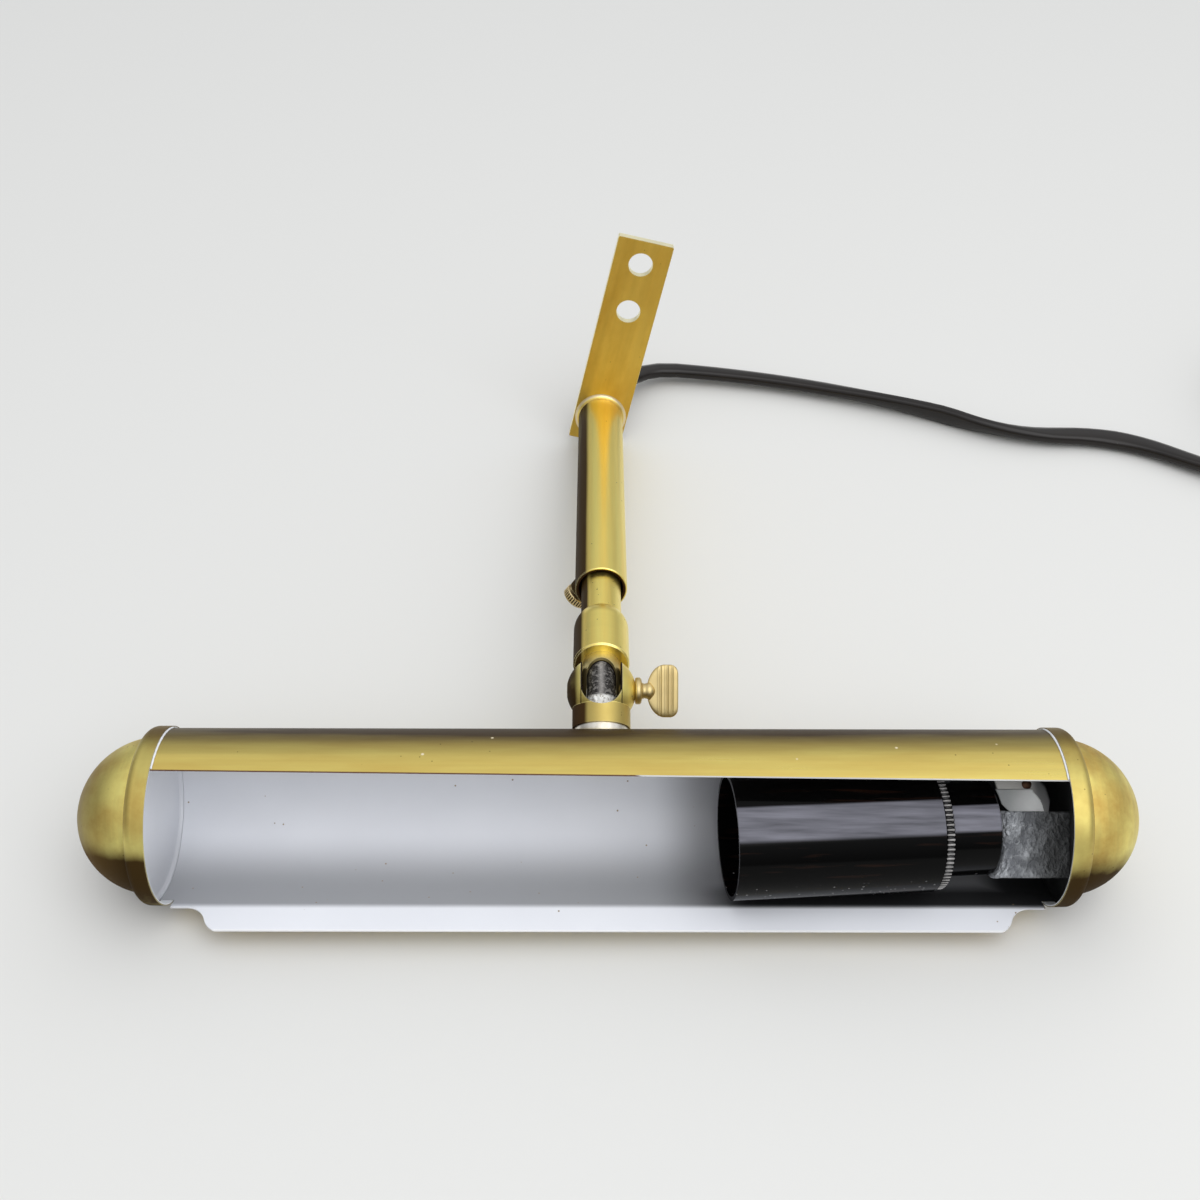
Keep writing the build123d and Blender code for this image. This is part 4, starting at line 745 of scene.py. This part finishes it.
# painted shadow under the lampholder and at the right end
shadow_right = ramp(tree, centred, right_way, 0.020, 0.034)
shadow_low = ramp(tree, centred, low_way, 0.0175, 0.0195)
shadow_end = times(tree, ramp(tree, centred, right_way, 0.088, 0.096), still_wall)
holder_shadow = calc(tree, "MAXIMUM", times(tree, shadow_right, shadow_low, still_wall), shadow_end)
grit = mask(tree, specks, Vector=place, Scale=420.0, Size=0.12, Share=0.12)
rim = below(tree, part["Y"], lip_end + 0.0003)
for share, tone in ((low_shade, (0.36, 0.37, 0.39, 1)), (warm, (0.80, 0.74, 0.66, 1)),
                    (shady, (0.16, 0.16, 0.17, 1)),
                    (times(tree, holder_shadow, 0.93), (0.012, 0.012, 0.013, 1)),
                    (grit, (0.30, 0.22, 0.14, 1)), (rim, (0.95, 0.96, 0.98, 1))):
    enamel = mix(tree, share, enamel, tone)
# the sawn upper edge: brown and ragged on the left, chipped down to white on the right
sawn = times(tree, calc(tree, "LESS_THAN", normal["Y"], -0.8),
             calc(tree, "GREATER_THAN", part["Z"], 0.017))
to_right = span(tree, part["X"], -0.01, 0.03, -0.25, 0.5)
chips = span(tree, calc(tree, "ADD", noise(tree, place, 260.0, 4.0), to_right), 0.46, 0.54)
edge_tone = mix(tree, chips, (0.14, 0.05, 0.02, 1), (0.90, 0.90, 0.88, 1))
coated = calc(tree, "MAXIMUM", white, sawn)
gloss = add(tree, "Mix", {0: coated, 2: metal["Roughness"], 3: 0.34}).outputs[0]
put(tree, Base_Color=mix(tree, sawn, mix(tree, white, brassy, enamel), edge_tone), Roughness=gloss,
    Metallic=times(tree, calc(tree, "SUBTRACT", 1.0, coated), metal["Bare"]),
    Normal=bump(tree, metal["Height"], 0.00002))
dress(material, "shade")

# ---- end caps and plates ----
# Spun brass domes with a groove and a plain band that grips the tube's ends,
# enamelled with the inside, and white enamelled cups inside them. A bead of
# white enamel has run along the band on the tube.
enamel_white, tree, place = clouded("white_enamel", 60.0, 5.0, (0.78, 0.80, 0.86, 1),
                                    (0.88, 0.90, 0.94, 1), Roughness=0.3)[:3]
# painted shade: the white enamel darkens towards the low side
paint_over(tree, ramp(tree, place, low_way, 0.0395, 0.0575, 0.0, 0.6), (0.42, 0.43, 0.46, 1))
dress(enamel_white, "end_plate_left", "head_lead")
# painted shadow: the right cup is near black
dress(clouded("shadowed_enamel", 120.0, 5.0, (0.006, 0.006, 0.006, 1), (0.05, 0.05, 0.052, 1),
              Roughness=0.5)[0], "end_plate_right")
band_width, groove_at, hollow_end, bead_thick = 0.0048, 0.005, 0.0028, 0.00022
for side, node, from_low, to_low, bead_end in ((-1, "end_cap_left", 0.0, 0.0084, 96.0),
                                              (1, "end_cap_right", 0.001, 0.0124, 102.4)):
    # painted shade darkens each cap towards its low side
    cap_shade = low_way, low_mid + from_low, low_mid + to_low
    material, tree, place = brass(node + "_brass", wear=0.6, dark=cap_shade,
                                  Stretch=(70.0, 70.0, 70.0), Lines=(700.0, 60.0, 60.0),
                                  Line_Depth=0.14, Satin=0.44, Tarnish=1.0,
                                  Rubbed=(0.84, 0.74, 0.24, 1), Tarnished=(0.58, 0.40, 0.11, 1),
                                  Pit_Share=0.08)
    outward = times(tree, add(tree, "SeparateXYZ", {0: place}).outputs["X"], side)
    band = below(tree, outward, half_length + band_width)
    # painted shade dims the band on its upper side
    band_shade = ramp(tree, place, low_way, low_mid + from_low - 0.002, low_mid + to_low - 0.002,
                  0.5, 0.0)
    paint_over(tree, times(tree, band, band_shade), (0.34, 0.25, 0.07, 1))
    # painted shade darkens the top edge of each cap
    back = ramp(tree, place, low_way, low_mid - 0.0165, low_mid - 0.0205, 0.0, 0.75)
    paint_over(tree, back, (0.10, 0.055, 0.018, 1))
    groove = calc(tree, "COMPARE", outward, half_length + groove_at, 0.0002)
    paint_over(tree, groove, (0.10, 0.045, 0.012, 1))
    hollow = below(tree, off_line(tree, place, shade_mid, right_way), tube_radius + 0.0003)
    hollow = times(tree, hollow, below(tree, outward, half_length + hollow_end))
    paint_over(tree, hollow, (0.80, 0.82, 0.84, 1), coat=True)
    if side < 0:
        # painted shade darkens the left dome towards its end
        limb = ramp(tree, place, left_way, 0.108, 0.1235, 0.0, 0.8)
        paint_over(tree, limb, (0.14, 0.08, 0.02, 1))
    dress(material, node)
    a = np.radians(np.linspace(44, bead_end, 60))
    b = -np.linspace(0, 2 * np.pi, 10, endpoint=False)
    out_way = np.stack([np.zeros(60), np.cos(a), np.sin(a)], -1)
    ring = shade_mid + (tube_radius + 0.00012) * out_way
    ring[:, 0] = side * (half_length - bead_thick)
    thick = bead_thick + 0.00004 * ripples(ring, 0.002, 3)[:, None, None]
    skin = np.cos(b)[None, :, None] * out_way[:, None] + np.sin(b)[None, :, None] * left_way
    bead = grid_object("enamel_bead_" + node[8:], ring[:, None] + thick * skin, closed_v=True,
                       caps=True)
    bead.data.materials.append(enamel_white)
    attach(bead, "shade")

# ---- lampholder ----
# Black bakelite in three screwed parts: a plain sleeve, a knurled ring and a
# smaller cap. A grey band on top of it is partly dust and partly a painted
# reflection, and it is glossy below.
def centre(node):
    """Middle of a CAD node's box."""
    low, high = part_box(node)
    return np.array((low + high) / 2)


body_mid, cap_mid = centre("holder_body"), centre("holder_cap")
holder_way = (cap_mid - body_mid) / np.linalg.norm(cap_mid - body_mid)
film_low = np.cross(near_way, holder_way)
film_low /= np.linalg.norm(film_low)
film_low *= np.sign(film_low @ low_way)


def bakelite(name, radius, dust):
    """Glossy black with a grey band, partly dust and partly a painted reflection, along the side
    that faces up and forward, streaked along the piece, a few brown scratches, and crumbs of
    dust low down."""
    material, tree, place = new_material(name, Roughness=0.10, IOR=1.4, Specular_IOR_Level=0.10)
    streak = noise(tree, vector(tree, "MULTIPLY", place, (25.0, 700.0, 700.0)), 1.0, 4.0)
    brown = span(tree, streak, 0.58, 0.8, 0.0, 0.6)
    put(tree, Base_Color=mix(tree, brown, (0.0015, 0.0015, 0.0015, 1), (0.030, 0.012, 0.007, 1)))
    mid = body_mid @ film_low
    top = ramp(tree, place, film_low, mid - 0.60 * radius, mid - 0.56 * radius)
    foot = ramp(tree, place, film_low, mid - 0.12 * radius, mid - 0.04 * radius, 1.0, 0.0)
    streaked = span(tree, streak, 0.3, 0.7, 0.45, 1.0)
    from_axis = off_line(tree, place, body_mid, holder_way)
    outside = calc(tree, "GREATER_THAN", from_axis, 0.96 * radius)
    # the grey band: dust and a painted reflection
    dust_and_sheen = times(tree, top, foot, streaked, outside)
    paint_over(tree, dust_and_sheen, (dust, dust, dust * 1.17, 1))
    low_down = ramp(tree, place, film_low, mid + 0.66 * radius, mid + 0.72 * radius)
    bits = mask(tree, specks, Vector=place, Scale=900.0, Size=0.3, Share=0.25)
    paint_over(tree, times(tree, low_down, bits), (0.16, 0.16, 0.16, 1))
    put(tree, Roughness=calc(tree, "MULTIPLY_ADD", dust_and_sheen, 0.3, 0.12))
    return material


body_radius, cap_radius = 0.0147, 0.0113
dress(bakelite("holder_black", body_radius, 0.20), "holder_body", "socket_insert")
dress(bakelite("cap_black", cap_radius, 0.28), "holder_cap")


def ring_ribs(height, angle):
    """Seventy-eight rounded ribs round the ring, the same at every height."""
    return -0.00045 * (0.5 + 0.5 * np.cos(78 * angle)) + 0 * height


ring_low, ring_high, ring_in, ring_out = -0.0012, 0.0012, 0.01145, 0.0142
outline = [(ring_low, ring_in), (ring_low, ring_out - 0.0006), (ring_low + 0.0004, ring_out),
           (ring_high - 0.0004, ring_out), (ring_high, ring_out - 0.0006), (ring_high, ring_in)]
ring_mid = centre("holder_ring")
knurl = turned("knurled_ring", ring_mid, holder_way, outline, around=624, rim=ring_ribs,
               closed=True)
material, tree, place = new_material("ring_black", Roughness=0.2)
from_axis = off_line(tree, place, ring_mid, holder_way)
# the crests of the ribs are painted pale in patches
crest = span(tree, from_axis, ring_out - 0.00022, ring_out - 0.00008)
pale_crests = times(tree, noise(tree, place, 500.0), crest)
put(tree, Base_Color=mix(tree, pale_crests, (0.003, 0.003, 0.003, 1), (0.62, 0.60, 0.59, 1)))
knurl.data.materials.append(material)
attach(knurl, "shade")
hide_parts("holder_ring")

# ---- bracket ----
# Bent galvanised sheet that carries the lampholder: a web facing forward with a
# cut-out above it, a leg behind the cap and a leaf back to the shade's wall,
# held by a rusty screw. A pale card lies behind the cut-out.
web_near, web_top, web_foot, web_left, web_right = 0.0062, -0.0021, 0.0133, 0.0905, 0.1069
sheet_thick, bend_radius = 0.0008, 0.003


def in_shade(x, near, low):
    """Points from their places along the shade, towards the viewer and low."""
    x, near, low = (axis[..., None] for axis in np.broadcast_arrays(x, near, low))
    return shade_mid + x * right_way + near * near_way + low * low_way


def thicken(piece, depth):
    """Gives a sheet its thickness behind its face."""
    solid = piece.modifiers.new("thickness", "SOLIDIFY")
    solid.thickness = depth
    solid.offset = -1


down, across = np.linspace(0, 1, 30)[None], np.linspace(0, 1, 60)[:, None]
low = web_top + (web_foot - web_top) * down
left = web_left - 0.0018 * np.clip((low - 0.009) / 0.0043, 0, 1) ** 2
x = left + (web_right - left) * across ** 1.6
bent = np.clip(1 - (x - left) / bend_radius, 0, 1)
near = web_near - bend_radius * (1 - np.sqrt(1 - bent ** 2))
web = grid_object("bracket_web", in_shade(x, near, low)[:, ::-1])
inner = np.array([(90.3, -6.9), (95.7, -6.8), (98.0, -6.7), (99.4, -5.5), (100.4, -4.1),
                  (101.1, -2.1)]) / 1000
outer = np.array([(89.6, -10.0), (95.7, -10.2), (99.6, -9.8), (101.6, -7.8), (102.4, -4.6),
                  (101.9, -2.1)]) / 1000
corners, step = np.arange(6), np.linspace(0, 5, 60)
inner = np.stack([np.interp(step, corners, inner[:, i]) for i in (0, 1)], -1)
outer = np.stack([np.interp(step, corners, outer[:, i]) for i in (0, 1)], -1)
outwards = np.linspace(0, 1, 8)[None, :, None]
face = inner[:, None] * (1 - outwards) + outer[:, None] * outwards
x, low = face[..., 0], face[..., 1]
surround = grid_object("bracket_surround", in_shade(x, web_near + 0.25 * (low - web_top), low))
back = np.linspace(0, 1, 20)[:, None]
x = 0.0905 + 0.0095 * np.linspace(0, 1, 12)[None]
near, low = 0.0042 - 0.0216 * back, -0.0100 + 0.0008 * back ** 2
leaf = grid_object("bracket_leaf", in_shade(x, near, low)[:, ::-1])
leg_mid = centre("holder_nipple") + holder_way * 0.0012
leg_side = np.cross(holder_way, near_way)
leg_side /= np.linalg.norm(leg_side)
leg_up = np.cross(leg_side, holder_way)
a = np.linspace(0, 2 * np.pi, 72, endpoint=False)
leg_hole, leg_half = 0.0051, 0.0068
edge = leg_half * (np.abs(np.cos(a)) ** 5 + np.abs(np.sin(a)) ** 5) ** -0.2
rings = leg_hole + (edge - leg_hole)[None] * np.linspace(0, 1, 6)[:, None]
spread = np.cos(a)[:, None] * leg_side + np.sin(a)[:, None] * leg_up
leg = grid_object("bracket_leg", leg_mid + rings[..., None] * spread[None], closed_v=True)
material, tree, place = new_material("galvanised_steel", Metallic=0.6)
laid = add(tree, "Mapping", {0: place, 2: (0.0, 0.5, 0.3), 3: (1.0, 0.7, 0.7)}).outputs[0]
soft = noise(tree, laid, 300.0, 3.0, distortion=0.4)
dents = noise(tree, laid, 1100.0, 4.0, distortion=0.5)
mottle = span(tree, calc(tree, "MULTIPLY_ADD", dents, 0.6, soft), 0.62, 0.98)
put(tree, Base_Color=mix(tree, mottle, (0.20, 0.21, 0.23, 1), (0.52, 0.54, 0.57, 1)),
    Roughness=span(tree, mottle, 0.0, 1.0, 0.7, 0.45), Normal=bump(tree, mottle, 0.0006))
# painted shade darkens the web towards its right end
paint_over(tree, ramp(tree, place, right_way, 0.092, 0.104, 0.0, 0.80), (0.06, 0.06, 0.055, 1))
clean, tree, place = clouded("clean_steel", 150.0, 4.0, (0.34, 0.33, 0.31, 1),
                             (0.62, 0.61, 0.58, 1), Metallic=0.5, Roughness=0.5)[:3]
# painted shade darkens the surround and leaf towards their right end
paint_over(tree, ramp(tree, place, right_way, 0.0975, 0.1000), (0.16, 0.16, 0.16, 1))
for piece, finish in ((web, material), (surround, clean), (leaf, clean), (leg, material)):
    thicken(piece, sheet_thick)
    piece.data.materials.append(finish)
    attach(piece, "shade")
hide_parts("holder_bracket")
card_near, card_top, card_foot = 0.0050, -0.0072, -0.0019
fall = np.linspace(card_top, card_foot, 24)[None]
card_left = np.interp(fall, [-0.0072, -0.0061, -0.0037, -0.0019], [0.0897, 0.0903, 0.0912, 0.0931])
card_right = np.interp(fall, [-0.0067, -0.0055, -0.0041, -0.0019], [0.0984, 0.0996, 0.1006, 0.1014])
x = card_left + (card_right - card_left) * np.linspace(0, 1, 24)[:, None]
card = grid_object("pale_card", in_shade(x, card_near, fall))
thicken(card, 0.0006)
material, tree, place = new_material("pale_card", Roughness=0.6)
lit = ramp(tree, place, right_way, 0.0915, 0.1000)
tone = mix(tree, lit, (0.30, 0.31, 0.31, 1), (0.78, 0.79, 0.78, 1))
cloud = span(tree, noise(tree, place, 300.0, 4.0), 0.0, 1.0, 0.85, 1.1)
put(tree, Base_Color=vector(tree, "SCALE", tone, Scale=cloud))
card.data.materials.append(material)
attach(card, "shade")
rust = brass("rusty_screw", wear=0.2, Rubbed=(0.12, 0.065, 0.04, 1),
             Tarnished=(0.05, 0.022, 0.012, 1), Satin=0.55)[0]
dress(rust, "bracket_screw")
screw_foot = in_shade(0.0972, 0.0040, -0.0079)
outline = [(0.0, 0.0001), (0.0, 0.0013), (0.0006, 0.0013), (0.0009, 0.0009), (0.0010, 0.0001)]
screw = turned("leaf_screw", screw_foot, near_way, outline, around=32)
screw.data.materials.append(rust)
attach(screw, "shade")
